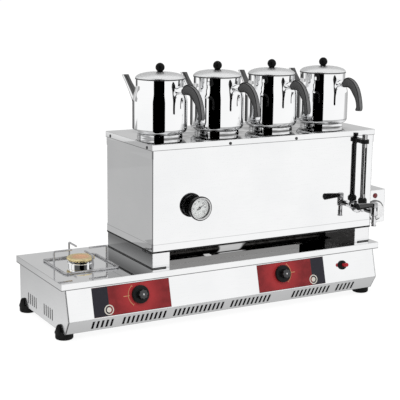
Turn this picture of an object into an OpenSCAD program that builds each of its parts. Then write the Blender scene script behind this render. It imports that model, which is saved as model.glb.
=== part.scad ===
// Countertop tea boiler: a gas base with a side burner, a long hot water tank
// with a gauge tap and a thermometer, and four lidded teapots on its cover.
// The bench frame has X to the right, Y to the back and Z up from the floor,
// and starts at the front left corner of the base top plate.

/* [Base housing] */
// Length of the base top plate
base_w = 976; // [900:1:1100]
// Depth of the base top plate
base_d = 320; // [300:1:340]
// Height of the housing below the top face of its plate
housing_h = 132; // [122:1:150]
// Thickness of the steel sheet
sheet = 1.5; // [1:0.1:2]
// Depth of the lip that turns down round the top plate
lip_h = 18; // [12:1:24]
// Overhang of the top plate past the left side panel
overhang_left = 9; // [7:1:20]
// Overhang of the top plate past the right side panel
overhang_right = 18; // [7:1:20]
// Clearance between the lip and the panels inside it
lip_gap = 0.35; // [0.2:0.05:0.8]
// Distance that the front crease stands forward of the panel's top
crease_out = 20; // [12:1:26]
// Depth of the front crease below the top plate
crease_drop = 95; // [88:1:100]
// Distance that the front panel's foot lies behind its top
toe_back = 2.5; // [0:0.5:8]
// Seam between two sheets that meet
seam = 0.2; // [0.1:0.05:0.4]

/* [Feet] */
// Height of a corner foot under the housing
foot_h = 20; // [14:1:30]
// Radius of the foot's disc
foot_r = 23; // [18:0.5:24]
// Distance from a side panel's outer face to the foot's axis
foot_inset = 12; // [8:1:14]
// Distance from the plate's front edge to the front feet's axes
foot_front = 37; // [30:1:50]
// Distance from the plate's back edge to the back feet's axes
foot_back = 26; // [24:1:40]
// Height of the pointed horn that stands on a foot beside the panel
horn_h = 19; // [10:1:26]

/* [Front panel] */
// Length of one vent slot along the lower band
slot_l = 26; // [16:1:30]
// Width of one vent slot
slot_w = 5.5; // [3:0.5:7]
// Spacing of the vent slots
slot_pitch = 12.9; // [10:0.1:14]
// Length of a control label
label_w = 217; // [200:1:230]
// Height of a control label along the sloping band
label_h = 75; // [60:1:77]
// Thickness of a control label
label_t = 0.6; // [0.4:0.1:1]
// Distance from the plate's left edge to the left label
label_left_x = 80; // [60:1:100]
// Distance from the plate's left edge to the right label
label_right_x = 565; // [540:1:600]
// Distance from the left label's left end to its knob
left_knob_in = 129; // [100:1:160]
// Distance from the right label's right end to its knob
right_knob_in = 141; // [100:1:160]
// Height of the knobs and the igniter above the middle of the band
knob_rise = 6; // [0:1:10]
// Distance from the plate's left edge to the igniter
igniter_x = 845; // [820:1:880]

/* [Gas controls] */
// Radius of a burner knob's skirt
knob_r = 23.5; // [20:0.5:26]
// Height of the knob's skirt
knob_skirt_h = 8; // [5:0.5:12]
// Radius of the knob's front face
knob_face_r = 14.5; // [12:0.5:18]
// Height of the whole knob
knob_h = 26; // [22:1:36]
// Gap between a label and the knob's skirt, which pressing takes up
knob_gap = 4; // [3.5:0.1:6]
// Radius of a valve spindle
spindle_r = 4; // [3:0.25:5]
// Radius of a gas valve's body
valve_r = 12; // [10:0.5:14]
// Length of a gas valve's body behind the panel
valve_l = 44; // [36:1:50]
// Radius of the gas manifold
manifold_r = 9; // [7:0.5:10]
// Radius of the hose nozzle
nozzle_r = 5; // [4:0.5:6]
// Length of the hose nozzle behind the back panel
nozzle_l = 26; // [20:1:36]
// Radius of the igniter's round bezel
bezel_r = 13; // [11:0.5:15]
// Radius of the igniter's push button
button_r = 5; // [4:0.5:7]
// Travel of the igniter's push button
button_travel = 5; // [3:0.5:7]

/* [Side burner] */
// Distance from the plate's left edge to the side burner
side_burner_x = 118; // [105:1:130]
// Distance from the plate's front edge to the side burner
side_burner_y = 156; // [140:1:170]
// Radius of the burner cup
cup_r = 35; // [30:0.5:38]
// Height of the burner cup above the plate
cup_h = 13; // [11:1:20]
// Radius of the burner cap
cap_r = 37; // [34:0.5:42]
// Thickness of the burner cap over its ports
cap_t = 5; // [4:0.5:8]
// Number of flame ports round the cap
cap_ports = 24; // [12:1:32]
// Length of the trivet's ring, left to right
trivet_w = 154; // [140:1:170]
// Length of the trivet's ring, front to back
trivet_d = 162; // [140:1:180]
// Radius of the trivet's wire
wire_r = 2.5; // [2:0.25:3.5]
// Height of the trivet's pan rests above the plate
trivet_h = 45; // [36:1:60]
// Length of a pan rest from its leg towards the middle
rest_l = 50; // [36:1:56]

/* [Tank] */
// Distance from the plate's left edge to the tank
tank_x = 262; // [250:1:270]
// Distance from the plate's front edge to the tank
tank_y = 25; // [15:1:35]
// Length of the tank
tank_w = 700; // [690:1:712]
// Depth of the tank
tank_d = 280; // [270:1:290]
// Height of the tank with its cover
tank_h = 283; // [270:1:300]
// Height of the stand under the tank
stand_h = 42; // [36:1:60]
// Width of a stand's end flanges
stand_w = 50; // [30:1:60]
// Distance from the tank's ends to the stands
stand_inset = 1.5; // [0.5:0.5:6]
// Height of the folded band at the tank's top, under the cover's top face
top_band = 36; // [30:1:44]
// Height of the folded band at the tank's bottom
bottom_band = 23; // [16:1:30]
// Depth of the fold between a band and the wall
joggle = 1; // [0.5:0.1:1.5]
// Depth of the cover's skirt
skirt_h = 16; // [14:1:22]
// Radius of the steam holes that the teapots stand over
steam_hole_r = 48; // [36:1:52]

/* [Teapots] */
// Number of teapots
pots = 4; // [4:1:4]
// Spacing of the teapots
pot_pitch = 174.5; // [172:0.5:176]
// Distance from the tank's front to the teapots' axes
pot_back = 132; // [120:1:150]
// Angle of the teapots' handles from +X
pot_turn = -71; // [-80:1:-60]
// Largest radius of a teapot
pot_r = 73; // [68:0.5:76]
// Radius of a teapot's foot
pot_foot_r = 61; // [56:0.5:64]
// Radius of a teapot's neck
pot_neck_r = 64; // [60:0.5:66]
// Height of a teapot without its lid
pot_h = 152; // [145:1:165]
// Wall of a teapot
pot_wall = 1.4; // [1:0.1:2]
// Height of the lid's dome
dome_h = 14; // [10:0.5:20]
// Radius of the lid knob's ball
ball_r = 12; // [10:0.5:14]
// Distance from a teapot's axis to the tip of its spout
spout_reach = 131; // [124:1:136]
// Radius of the spout's mouth
spout_r = 8.5; // [7:0.5:10]
// Distance from a teapot's axis to the middle of its grip
grip_reach = 147; // [138:1:152]
// Thickness of a teapot's grip
grip_t = 21; // [18:0.5:24]

/* [Tap and gauge] */
// Distance from the tank's left end to the tap
tap_x = 652; // [640:1:660]
// Height of the tap's neck above the stand's foot
tap_z = 105; // [98:1:120]
// Distance from the tank's front to the tap's barrel
tap_reach = 78; // [70:1:90]
// Radius of the tap's neck
neck_r = 8; // [7.5:0.25:9.5]
// Radius of the tap's flow bore
flow_r = 4.5; // [4:0.25:5]
// Radius of the tap's barrel
barrel_r = 9.5; // [8.5:0.25:11]
// Distance from the neck's axis down to the mouth of the spout
mouth_drop = 40; // [32:1:50]
// Length of the tap's grip
tap_grip_l = 43; // [36:1:56]
// Radius of the tap's grip
tap_grip_r = 8; // [7:0.25:9]
// Distance from the tank's front to the gauge
gauge_out = 23; // [22:0.5:28]
// Height of the top of the gauge above the stand's foot
gauge_top = 315; // [300:1:318]
// Radius of the gauge glass
glass_r = 5; // [4:0.25:5.25]
// Radius of the gauge's guard
guard_r = 7.3; // [6.8:0.1:8]

/* [Thermometer] */
// Distance from the tank's left end to the thermometer
dial_x = 127; // [110:1:150]
// Height of the thermometer above the stand's foot
dial_z = 154; // [140:1:170]
// Radius of the thermometer's bezel
dial_r = 32; // [28:0.5:36]
// Distance that the thermometer stands out from the tank
dial_out = 30; // [28:1:36]

/* [Control box] */
// Width of the control box at the tank's right end
box_w = 70; // [64:1:80]
// Depth of the control box
box_d = 100; // [90:1:120]
// Height of the control box
box_h = 96; // [90:1:110]
// Distance from the tank's front to the control box
box_back = 25; // [15:1:40]
// Height of the control box's bottom above the stand's foot
box_rise = 46; // [44:1:56]
// Radius of the thermostat's knob
dial_knob_r = 30; // [24:0.5:32]

/* [Hidden] */
$fn = 64;

// Overrun of every cut past the face that it opens
over = 2;
// Gap under a part that lifts off, and between parts that pass each other
rest_gap = 0.3;
// Radial clearance of a shaft that turns or slides in its bore
run_gap = 0.05;
// Radial clearance of a fixed part in its hole
hole_gap = 0.1;

// Levels of the housing and of the tank
housing_z = foot_h;
base_top = foot_h + housing_h;
tank_z = base_top + stand_h;
cover_top = tank_z + tank_h;

// Side profile of the housing, from the top of the front panel to its foot
panel_y = sheet + lip_gap;
crease_y = panel_y - crease_out;
crease_z = base_top - crease_drop;
toe_y = panel_y + toe_back;
back_y = base_d - sheet - lip_gap;
left_face = overhang_left;
right_face = base_w - overhang_right;
band_tilt = atan(crease_out / (crease_drop - lip_h));
low_h = norm([toe_y - crease_y, crease_z - housing_z]);
low_tilt = atan((toe_y - crease_y) / (crease_z - housing_z));

// Feet and their screws
foot_xs = [left_face + foot_inset, right_face - foot_inset];
foot_ys = [foot_front, base_d - foot_back];
foot_edge = 2;
horn_tip = 4;
screw_r = 2;
screw_head_r = 4.2;
screw_head_h = 2.6;
screw_l = 9;
foot_recess_r = 6;
foot_web = 6;
foot_recess = foot_h - foot_web;

// Vent slots of the front band, each group as its first slot and its count
slot_first_xs = [81, 166.5, 313, 485.5, 682, 831];
slot_counts = [5, 10, 12, 10, 10, 5];
slot_middle = low_h * 0.48;
// Louvre slits of the side panels, each group as its distance from the front
louvre_ys = [84, 198];
louvre_count = 5;
louvre_pitch = 14;
louvre_w = 4.5;
louvre_l = 29;
louvre_drop = 8;
louvre_z = crease_z - louvre_drop;

// Knobs, valves and igniter on the sloping band
knob_xs = [label_left_x + left_knob_in, label_right_x + label_w - right_knob_in];
neck_clear = 0.5;
valve_neck_wall = 2.5;
valve_neck_r = spindle_r + valve_neck_wall;
valve_neck_out = 3;
spindle_out = 20;
spindle_in = 26;
flat_depth = 1;
knob_wall = 2.4;
knob_cove = 8;
knob_bar_w = 9;
knob_bar_h = 4;
barrel_in = 38;
barrel_bore = 22;
button_out = 7;
igniter_neck_r = 9;
igniter_nut_r = 15;
igniter_nut_t = 4;
bezel_h = 6;

// Points on the valves' axes, at a depth behind the panel
function axis_y(depth) =
    (panel_y + crease_y) / 2 + knob_rise * sin(band_tilt) + depth * cos(band_tilt);
function axis_z(depth) =
    (base_top - lip_h + crease_z) / 2 + knob_rise * cos(band_tilt) - depth * sin(band_tilt);

// Manifold behind the valves, and the pipes from the valves to the burners
manifold_y = axis_y(valve_l);
manifold_z = axis_z(valve_l);
manifold_end = 30;
manifold_ends = [knob_xs[0] - manifold_end, knob_xs[1] + 2 * manifold_end];
inlet_x = knob_xs[1] + manifold_end;
pipe_r = 5;
feed_r = 4;
feed_depth = 24;
feed_z = manifold_z + manifold_r + 2 * pipe_r;
feed_bend = 6;
nozzle_collar_rim = 5;
nozzle_collar_r = nozzle_r + nozzle_collar_rim;
nozzle_collar_t = 5;
nozzle_wall = 2;
nozzle_bore_r = nozzle_r - nozzle_wall;

// Opening for the main burner in the base top plate
burner_hole_end = 78;
burner_hole_edge = 72;
burner_hole_x = [tank_x + burner_hole_end, tank_x + tank_w - burner_hole_end];
burner_hole_y = [tank_y + burner_hole_edge, tank_y + tank_d - burner_hole_edge];
burner_tube_r = 12;
burner_tube_gap = 56;
burner_rise = 3;
burner_tube_z = base_top + burner_rise;
burner_strap_w = 16;
burner_end_in = 26;
burner_strap_in = 90;
burner_strap_lap = 12;
burner_strap_gap = 4;
burner_ports = 24;
port_depth = 2;
burner_mid = [(burner_hole_x[0] + burner_hole_x[1]) / 2, (burner_hole_y[0] + burner_hole_y[1]) / 2];

// Side burner
cup_wall = 1.6;
cup_step_h = 7;
cup_step = 1.5;
cup_neck_r = 16;
cup_neck_l = 34;
cap_plug_h = 5;
cap_ring_h = 3;
cap_dish_r = 14;
cap_edge = 2;
port_w = 3;
jet_wall = 3;
trivet_bend = 9;

// Cover and its screws
cover_gap = 0.35;
cover_out = sheet + cover_gap;
screw_drop = 10;
front_screw_xs = [228, 436];
side_screw_inset = 28;
fold_run = 3;
wall = sheet + joggle;

// Places on the tank
pot_y = tank_y + pot_back;
function pot_x(i) = tank_x + tank_w / 2 + (i - (pots - 1) / 2) * pot_pitch;
tap_wx = tank_x + tap_x;
tap_wz = base_top + tap_z;
dial_wx = tank_x + dial_x;
dial_wz = base_top + dial_z;
tank_right = tank_x + tank_w;
box_y = tank_y + box_back;
box_z = base_top + box_rise;

// Outer limits, which set the middle of the footprint
left_end = min(0, foot_xs[0] - foot_r);
right_end = tank_right + box_w;
front_end = tank_y - tap_reach - barrel_r;
back_end = back_y + nozzle_l;
bench_x = (left_end + right_end) / 2;
bench_y = (front_end + back_end) / 2;

// Heating element, put in from the right end
heater_back = 62;
heater_rise = 56;
heater_y = box_y + heater_back;
heater_z = tank_z + heater_rise;
heater_r = 20;
heater_flange_r = 27;
heater_flange_t = 4;
heater_spigot = 8;
heater_l = 420;
heater_rod_r = 4.25;
heater_half = 15;
heater_bend = 12;

// Control box, its thermostat, lamp and gland
dial_knob_rise = 36;
lamp_rise = 79;
dial_knob_z = box_z + dial_knob_rise;
lamp_z = box_z + lamp_rise;
box_mid_x = tank_right + box_w / 2;
lamp_r = 6;
lamp_bezel_r = 7.5;
lamp_in = 22;
dial_knob_gap = 2;
dial_knob_h = 20;
dial_skirt_t = 3;
dial_grip_share = 0.68;
flutes = 16;
flute_r = 2.5;
stat_w = 36;
stat_d = 30;
stat_neck_r = 5;
stat_spindle_r = 3;
stat_spindle_l = 16;
gland_r = 6;
gland_hex_r = 10;
gland_hex_h = 5;
gland_nut_h = 4;
gland_cap_r = 8;
gland_cap_h = 9;
gland_bore_r = 4;
gland_in = 18;
gland_back = 24;
gland_x = tank_right + box_w - gland_in;
gland_y = box_y + gland_back;

// Thermometer
dial_neck_r = 7;
dial_neck_in = 8;
stem_r = 4;
stem_l = 60;
case_back = 12;
case_nut_r = 13;
case_nut_h = 8;
bezel_lip = 3;
case_r = dial_r - bezel_lip;
case_wall = 1.5;
bezel_depth = 7;
face_rise = 5;
needle_rise = 2.5;
face_z = case_back + face_rise;
needle_z = face_z + needle_rise;
pin_r = 1;
hub_r = 3.5;
needle_l = 19;
needle_tail = 9;
needle_w = 2.4;
needle_t = 0.8;
glass_drop = 4;
glass_z = dial_out - glass_drop;
glass_t = 1.6;
// Angle of the needle from the horizontal at rest
needle_rest = 32;

// Tap
tail_l = 16;
tap_flange_r = 17;
tap_flange_t = 4;
boss_h = 14;
boss_r = 7.5;
ball_out_r = 11;
barrel_up = 13;
barrel_down = 10;
plug_r = 5.6;
plug_head_h = 13;
port_r = 3;
plug_head_r = 9;
lever_pin_r = 3;
lever_pin_l = 12;
mouth_r = 7.2;
mouth_lip = 2;
mouth_wall = 1.8;
back_nut_t = 6;
back_nut_r = 13.6;
grip_nose = 2;
grip_up = barrel_up + rest_gap + plug_head_h / 2;

// Gauge
gauge_nut_h = 16;
gauge_nut_r = 12.5;
nut_side_share = 0.7;
nut_top_share = 0.75;
glass_seat = 5;
glass_wall = 1.2;
guard_slot_w = 6;
clamp_h = 11;
clamp_r = 12;
clamp_arm_w = 16;
clamp_drop = 14;
guard_top = 2;
gauge_h = gauge_top - tap_z - boss_h;

// Teapots
foot_rim = 5;
foot_lift = 2;
belly_z = 18;
shoulder_shares = [0.61, 0.9];
rim_lap = 2;
seat_in = 0.6;
lid_ring_h = 7;
lid_wall = 1.4;
stud_r = 2.5;
flare_h = 4;
flare_r = 11.5;
flare_edge = 1;
ball_rise_share = 0.6;
knob_neck_r = 6;
knob_neck_h = 9;
ferrule_r = 11;
ferrule_z = 120;
ferrule_end = 80;
ferrule_stud_r = 4;
ferrule_stud_l = 12;
pot_corner = 15;
shoulder_steps = 8;
grip_drop = 73;
// Shares of the spout: reach from the belly to the tip, height of the pot, then
// half depth and half width in mouth radii, and the lean of the section
spout_shares = [
    [-0.22, 0.37, 3.1, 2.4, 122], [0.05, 0.50, 2.3, 1.9, 128], [0.29, 0.63, 1.6, 1.45, 134],
    [0.55, 0.77, 1.2, 1.15, 142], [0.79, 0.90, 1, 1, 150], [1, 1.02, 1.12, 1.05, 176]];
// Shares of the grip: reach from the ferrule to the grip's middle, drop along it, then
// half depth and half width in its thicknesses, and the lean of the section
grip_shares = [
    [0, 0, 0.56, 0.46, 90], [0.21, -0.08, 0.6, 0.48, 82], [0.55, -0.04, 0.56, 0.5, 44],
    [0.82, 0.23, 0.5, 0.5, 28], [0.97, 0.62, 0.48, 0.5, 10], [1, 0.93, 0.46, 0.48, 0],
    [0.99, 1, 0.3, 0.32, 0]];
loft_steps = 3;
loft_sides = 20;

// Shared helpers

// Moves the bench frame so that the footprint's middle is the origin
module bench() translate([-bench_x, -bench_y, 0]) children();

// Extrudes an outline drawn in Y and Z along X
module along_x(x0, x1) translate([x0, 0, 0]) rotate([90, 0, 90]) linear_extrude(x1 - x0) children();

// Extrudes an outline drawn in X and Z along Y
module along_y(y0, y1) translate([0, y1, 0]) rotate([90, 0, 0]) linear_extrude(y1 - y0) children();

// Frame on the sloping band: X along it, Y up it, Z straight out of it
module on_band(x, rise = 0)
    translate([x, (panel_y + crease_y) / 2, (base_top - lip_h + crease_z) / 2])
        rotate([90 - band_tilt, 0, 0]) translate([0, rise, 0]) children();

// Frame on the vent band under the crease
module on_low_band(x)
    translate([x, toe_y, housing_z]) rotate([90 + low_tilt, 0, 0]) children();

// Frame on the tank's front wall, Z straight out of it
module on_tank(x, z) translate([x, tank_y, z]) rotate([90, 0, 0]) children();

// Frame of a teapot, X towards its handle
module at_pot(i)
    translate([pot_x(i), pot_y, cover_top + rest_gap]) rotate([0, 0, pot_turn]) children();

// Round hole of a radius through a sheet or wall whose outer face is at zero
module drill(depth, r) translate([0, 0, -depth - over]) cylinder(h = depth + 2 * over, r = r);

// Ring with a round bore
module tube(h, r, bore) difference() {
    cylinder(h = h, r = r);
    translate([0, 0, -over]) cylinder(h = h + 2 * over, r = bore);
}

function unit(v) = v / norm(v);
function left_of(v) = [-v.y, v.x];
function mitre(p, i) =
    let(a = unit(i == 0 ? p[1] - p[0] : p[i] - p[i - 1]),
        b = i == len(p) - 1 ? a : unit(p[i + 1] - p[i]),
        n = left_of(a), m = left_of(b))
    (n + m) / (1 + n * m);
// Outline of a folded sheet whose outer face follows the points
function folded(p, t) =
    concat(p, [for (i = [len(p) - 1:-1:0]) p[i] + t * mitre(p, i)]);

// Points of an arc, swept from one angle to another
function arc(c, r, a0, a1, n) =
    [for (i = [0:n]) let(a = a0 + (a1 - a0) * i / n) c + r * [cos(a), sin(a)]];

// Smooth point on a run of sections, by cubic interpolation between them
function blend(a, b, c, d, t) =
    b + t / 2 * (c - a + t * (2 * a - 5 * b + 4 * c - d + t * (3 * (b - c) + d - a)));
function smooth(p, per) = concat(
    [for (i = [0:len(p) - 2]) for (k = [0:per - 1])
        blend(p[max(i - 1, 0)], p[i], p[i + 1], p[min(i + 2, len(p) - 1)], k / per)],
    [p[len(p) - 1]]);

// Skins closed rings of points into one solid
module skin(rings) {
    n = len(rings[0]);
    m = len(rings);
    sides = [for (k = [0:m - 2]) for (i = [0:n - 1]) for (half = [0, 1])
        let(j = (i + 1) % n, a = k * n, b = a + n)
        half == 0 ? [a + i, a + j, b + j] : [a + i, b + j, b + i]];
    ends = [for (i = [1:n - 2]) for (e = [0, 1])
        e == 0 ? [0, i + 1, i] : [(m - 1) * n, (m - 1) * n + i, (m - 1) * n + i + 1]];
    polyhedron(points = [for (r = rings) each r], faces = concat(ends, sides));
}

// Ring of a section [reach, height, half depth, half width, lean] in a pot's frame
function ring(s, n) = [for (i = [0:n - 1]) let(a = 360 * i / n)
    [s[0] + s[2] * cos(a) * cos(s[4]), s[3] * sin(a), s[1] + s[2] * cos(a) * sin(s[4])]];

// Base housing

module housing_outline() polygon([
    [panel_y, base_top - sheet], [panel_y, base_top - lip_h], [crease_y, crease_z],
    [toe_y, housing_z], [back_y, housing_z], [back_y, base_top - sheet]]);

module base_top_plate() color("gainsboro") bench() difference() {
    translate([0, 0, base_top - lip_h]) cube([base_w, base_d, lip_h]);
    translate([sheet, sheet, base_top - lip_h - over])
        cube([base_w - 2 * sheet, base_d - 2 * sheet, lip_h - sheet + over]);
    translate([side_burner_x, side_burner_y, base_top - sheet - over])
        cylinder(h = sheet + 2 * over, r = cup_neck_r + hole_gap);
    translate([burner_hole_x[0], burner_hole_y[0], base_top - sheet - over])
        cube([burner_hole_x[1] - burner_hole_x[0], burner_hole_y[1] - burner_hole_y[0], sheet + 2 * over]);
}

module base_front_panel() color("whitesmoke") bench() difference() {
    along_x(left_face + sheet + seam, right_face - sheet - seam) polygon(folded([
        [panel_y, base_top - sheet], [panel_y, base_top - lip_h], [crease_y, crease_z],
        [toe_y, housing_z]], sheet));
    for (x = knob_xs) on_band(x, knob_rise) drill(sheet, valve_neck_r + neck_clear);
    on_band(igniter_x, knob_rise) drill(sheet, igniter_neck_r + hole_gap);
    for (g = [0:len(slot_counts) - 1]) for (i = [0:slot_counts[g] - 1])
        on_low_band(slot_first_xs[g] + i * slot_pitch)
            translate([-slot_w / 2, slot_middle - slot_l / 2, -sheet - over])
                cube([slot_w, slot_l, sheet + 2 * over]);
}

module side_panel(x) difference() {
    along_x(x, x + sheet) housing_outline();
    for (y = louvre_ys) for (i = [0:louvre_count - 1])
        translate([x - over, y + i * louvre_pitch, louvre_z - louvre_l / 2])
            cube([sheet + 2 * over, louvre_w, louvre_l]);
}

module base_left_side() color("silver") bench() side_panel(left_face);

module base_right_side() color("silver") bench() side_panel(right_face - sheet);

module base_back_panel() color("silver") bench() difference() {
    translate([left_face + sheet + seam, back_y - sheet, housing_z])
        cube([right_face - left_face - 2 * sheet - 2 * seam, sheet, housing_h - sheet]);
    translate([inlet_x, back_y - sheet - over, manifold_z]) rotate([-90, 0, 0])
        cylinder(h = sheet + 2 * over, r = pipe_r + hole_gap);
}

module base_floor_plate() color("darkgray") bench() difference() {
    front = toe_y + sheet / cos(low_tilt) + seam;
    translate([left_face + sheet + seam, front, housing_z])
        cube([right_face - left_face - 2 * sheet - 2 * seam, back_y - sheet - seam - front, sheet]);
    for (x = foot_xs) for (y = foot_ys) translate([x, y, housing_z - over])
        cylinder(h = sheet + 2 * over, r = screw_r + hole_gap);
}

// One foot: a screwed disc with a pointed horn beside the panel, seen towards -X
module corner_foot() {
    difference() {
        union() {
            rotate_extrude() polygon(concat(
                [[0, 0]],
                arc([foot_r - foot_edge, foot_edge], foot_edge, -90, 0, 6),
                [[foot_r, foot_h], [0, foot_h]]));
            intersection() {
                cylinder(h = foot_h + horn_h, r = foot_r);
                translate([-foot_r - over, 0, foot_h - foot_edge]) rotate([90, 0, 90])
                    linear_extrude(foot_r + over - foot_inset - seam)
                        polygon(concat([[-foot_r, 0], [foot_r, 0]],
                            arc([0, foot_edge + horn_h - horn_tip], horn_tip, 20, 160, 8)));
            }
        }
        translate([0, 0, -over]) cylinder(h = foot_recess + over, r = foot_recess_r);
        translate([0, 0, -over]) cylinder(h = foot_h + 2 * over, r = screw_r + hole_gap);
    }
}

module corner_feet() color("#1c1c1e") bench() for (y = foot_ys) {
    translate([foot_xs[0], y, 0]) corner_foot();
    translate([foot_xs[1], y, 0]) rotate([0, 0, 180]) corner_foot();
}

// Pan head screw, its shank along -Z from the face that its head sits on
module screw(l) {
    translate([0, 0, -l]) cylinder(h = l, r = screw_r);
    rotate_extrude() polygon(concat([[0, 0], [screw_head_r, 0], [screw_head_r, screw_head_h / 3]],
        arc([0, -screw_head_h / 3], screw_head_h * 4 / 3, 45, 90, 4)));
}

// Places children at every screw of the cover's skirt, Z straight out of it
module at_cover_screws() {
    z = cover_top - screw_drop;
    for (x = front_screw_xs) {
        translate([tank_x + x, tank_y - cover_out, z]) rotate([90, 0, 0]) children();
        translate([tank_x + x, tank_y + tank_d + cover_out, z]) rotate([-90, 0, 0]) children();
    }
    for (y = [side_screw_inset, tank_d - side_screw_inset]) {
        translate([tank_x - cover_out, tank_y + y, z]) rotate([0, -90, 0]) children();
        translate([tank_right + cover_out, tank_y + y, z]) rotate([0, 90, 0]) children();
    }
}

module panel_screws() color("silver") bench() {
    at_cover_screws() screw(screw_l);
    for (x = foot_xs) for (y = foot_ys)
        translate([x, y, foot_recess]) rotate([180, 0, 0]) screw(foot_h - foot_recess + sheet + over);
}

module control_labels() color("firebrick") bench()
    for (i = [0, 1]) difference() {
        on_band([label_left_x, label_right_x][i])
            translate([0, -label_h / 2, 0]) cube([label_w, label_h, label_t]);
        on_band(knob_xs[i], knob_rise) drill(label_t, valve_neck_r + neck_clear);
    }

// Gas controls

// Spindle end with a flat on one side
module flatted(l, r) intersection() {
    cylinder(h = l, r = r);
    translate([-r, -r, 0]) cube([2 * r, 2 * r - flat_depth, l]);
}

module burner_knob() {
    z0 = label_t + knob_gap;
    difference() {
        union() {
            translate([0, 0, z0]) rotate_extrude() polygon(concat(
                [[0, 0], [knob_r, 0]],
                arc([knob_r - foot_edge, knob_skirt_h - foot_edge], foot_edge, 0, 90, 5),
                arc([knob_face_r + knob_cove, knob_h - foot_edge], knob_cove, -115, -180, 6),
                [[knob_face_r - foot_edge, knob_h], [0, knob_h]]));
            translate([-knob_bar_w / 2, -knob_face_r, z0 + knob_h - knob_bar_h])
                cube([knob_bar_w, 2 * knob_face_r, knob_bar_h + foot_edge]);
        }
        translate([0, 0, z0 - over]) difference() {
            cylinder(h = knob_skirt_h - knob_wall + over, r = knob_r - knob_wall);
            cylinder(h = knob_skirt_h + over, r = valve_neck_r + knob_wall);
        }
        translate([0, 0, z0 - over])
            cylinder(h = knob_skirt_h - knob_wall + over, r = valve_neck_r + neck_clear);
        translate([0, 0, z0 - over]) flatted(spindle_out - z0 + knob_gap + over, spindle_r + run_gap);
    }
}

module left_burner_knob() color("#161616") bench() on_band(knob_xs[0], knob_rise) burner_knob();

module right_burner_knob() color("#161616") bench() on_band(knob_xs[1], knob_rise) burner_knob();

module valve_spindle() {
    translate([0, 0, -spindle_in]) cylinder(h = spindle_in + valve_neck_out, r = spindle_r);
    translate([0, 0, valve_neck_out]) flatted(spindle_out - valve_neck_out, spindle_r);
}

module left_valve_spindle() color("goldenrod") bench() on_band(knob_xs[0], knob_rise) valve_spindle();

module right_valve_spindle() color("goldenrod") bench() on_band(knob_xs[1], knob_rise) valve_spindle();

module gas_valve() difference() {
    union() {
        translate([0, 0, -valve_l - sheet]) cylinder(h = valve_l, r = valve_r);
        translate([0, 0, -sheet - over]) cylinder(h = sheet + over + valve_neck_out, r = valve_neck_r);
    }
    translate([0, 0, -spindle_in - rest_gap])
        cylinder(h = spindle_in + valve_neck_out + over, r = spindle_r + run_gap);
}

module valve_at(i) difference() {
    on_band(knob_xs[i], knob_rise) gas_valve();
    translate([manifold_ends[0] - over, manifold_y, manifold_z]) rotate([0, 90, 0])
        cylinder(h = manifold_ends[1] - manifold_ends[0] + 2 * over, r = manifold_r + hole_gap);
}

module left_gas_valve() color("darkkhaki") bench() valve_at(0);

module right_gas_valve() color("darkkhaki") bench() valve_at(1);

// Manifold with its inlet pipe and the hose nozzle behind the back panel
module gas_manifold() color("#b87333") bench() {
    translate([manifold_ends[0], manifold_y, manifold_z]) rotate([0, 90, 0])
        cylinder(h = manifold_ends[1] - manifold_ends[0], r = manifold_r);
    translate([inlet_x, back_y, manifold_z]) rotate([-90, 0, 0]) difference() {
        union() {
            translate([0, 0, manifold_y - back_y]) cylinder(h = back_y - manifold_y, r = pipe_r);
            translate([0, 0, seam]) cylinder(h = nozzle_collar_t, r = nozzle_collar_r, $fn = 6);
            cylinder(h = nozzle_l, r = nozzle_r);
        }
        translate([0, 0, nozzle_collar_t]) cylinder(h = nozzle_l, r = nozzle_bore_r);
    }
}

// Points a stick along a line of any direction
module stick(a, b, r) translate(a)
    rotate([0, acos((b - a).z / norm(b - a)), atan2((b - a).y, (b - a).x)]) cylinder(h = norm(b - a), r = r);

// Round rod along points, with a bend of one radius at every corner
module bent_rod(p, r, bend) {
    dirs = [for (i = [0:len(p) - 2]) unit(p[i + 1] - p[i])];
    turns = [for (i = [0:len(p) - 1]) i == 0 || i == len(p) - 1 ? 0 : acos(dirs[i - 1] * dirs[i])];
    cuts = [for (t = turns) bend * tan(t / 2)];
    for (i = [0:len(p) - 2]) stick(p[i] + cuts[i] * dirs[i], p[i + 1] - cuts[i + 1] * dirs[i], r);
    for (i = [1:1:len(p) - 2]) {
        a = dirs[i - 1];
        n = unit(dirs[i] - (a * dirs[i]) * a);
        c = p[i] - cuts[i] * a + bend * n;
        k = cross(-n, a);
        multmatrix([[-n.x, a.x, k.x, c.x], [-n.y, a.y, k.y, c.y], [-n.z, a.z, k.z, c.z], [0, 0, 0, 1]])
            rotate_extrude(angle = turns[i]) translate([bend, 0]) circle(r = r);
    }
}

// Pipe from a valve's side, over the manifold and up to a burner
module feed_pipe(i, x, y, top) {
    ay = axis_y(feed_depth);
    az = axis_z(feed_depth);
    bent_rod([[knob_xs[i] - valve_r - seam, ay, az], [x, ay, az], [x, ay, feed_z], [x, y, feed_z],
        [x, y, top]], feed_r, feed_bend);
}

module burner_feed_pipes() color("#b87333") bench() {
    feed_pipe(0, side_burner_x, side_burner_y, base_top - cup_neck_l - seam);
    feed_pipe(1, burner_mid.x, burner_mid.y, burner_tube_z - burner_tube_r - seam);
}

module igniter_body() color("#1a1a1a") bench() on_band(igniter_x, knob_rise) difference() {
    union() {
        rotate_extrude() polygon(concat([[0, 0], [bezel_r, 0]],
            arc([bezel_r - bezel_h / 2, bezel_h / 2], bezel_h / 2, 0, 90, 6), [[0, bezel_h]]));
        translate([0, 0, -barrel_in]) cylinder(h = barrel_in + bezel_h / 2, r = igniter_neck_r);
        translate([0, 0, -sheet - seam - igniter_nut_t])
            cylinder(h = igniter_nut_t, r = igniter_nut_r, $fn = 6);
    }
    translate([0, 0, -barrel_bore]) cylinder(h = barrel_bore + bezel_h + over, r = button_r + run_gap);
}

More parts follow.
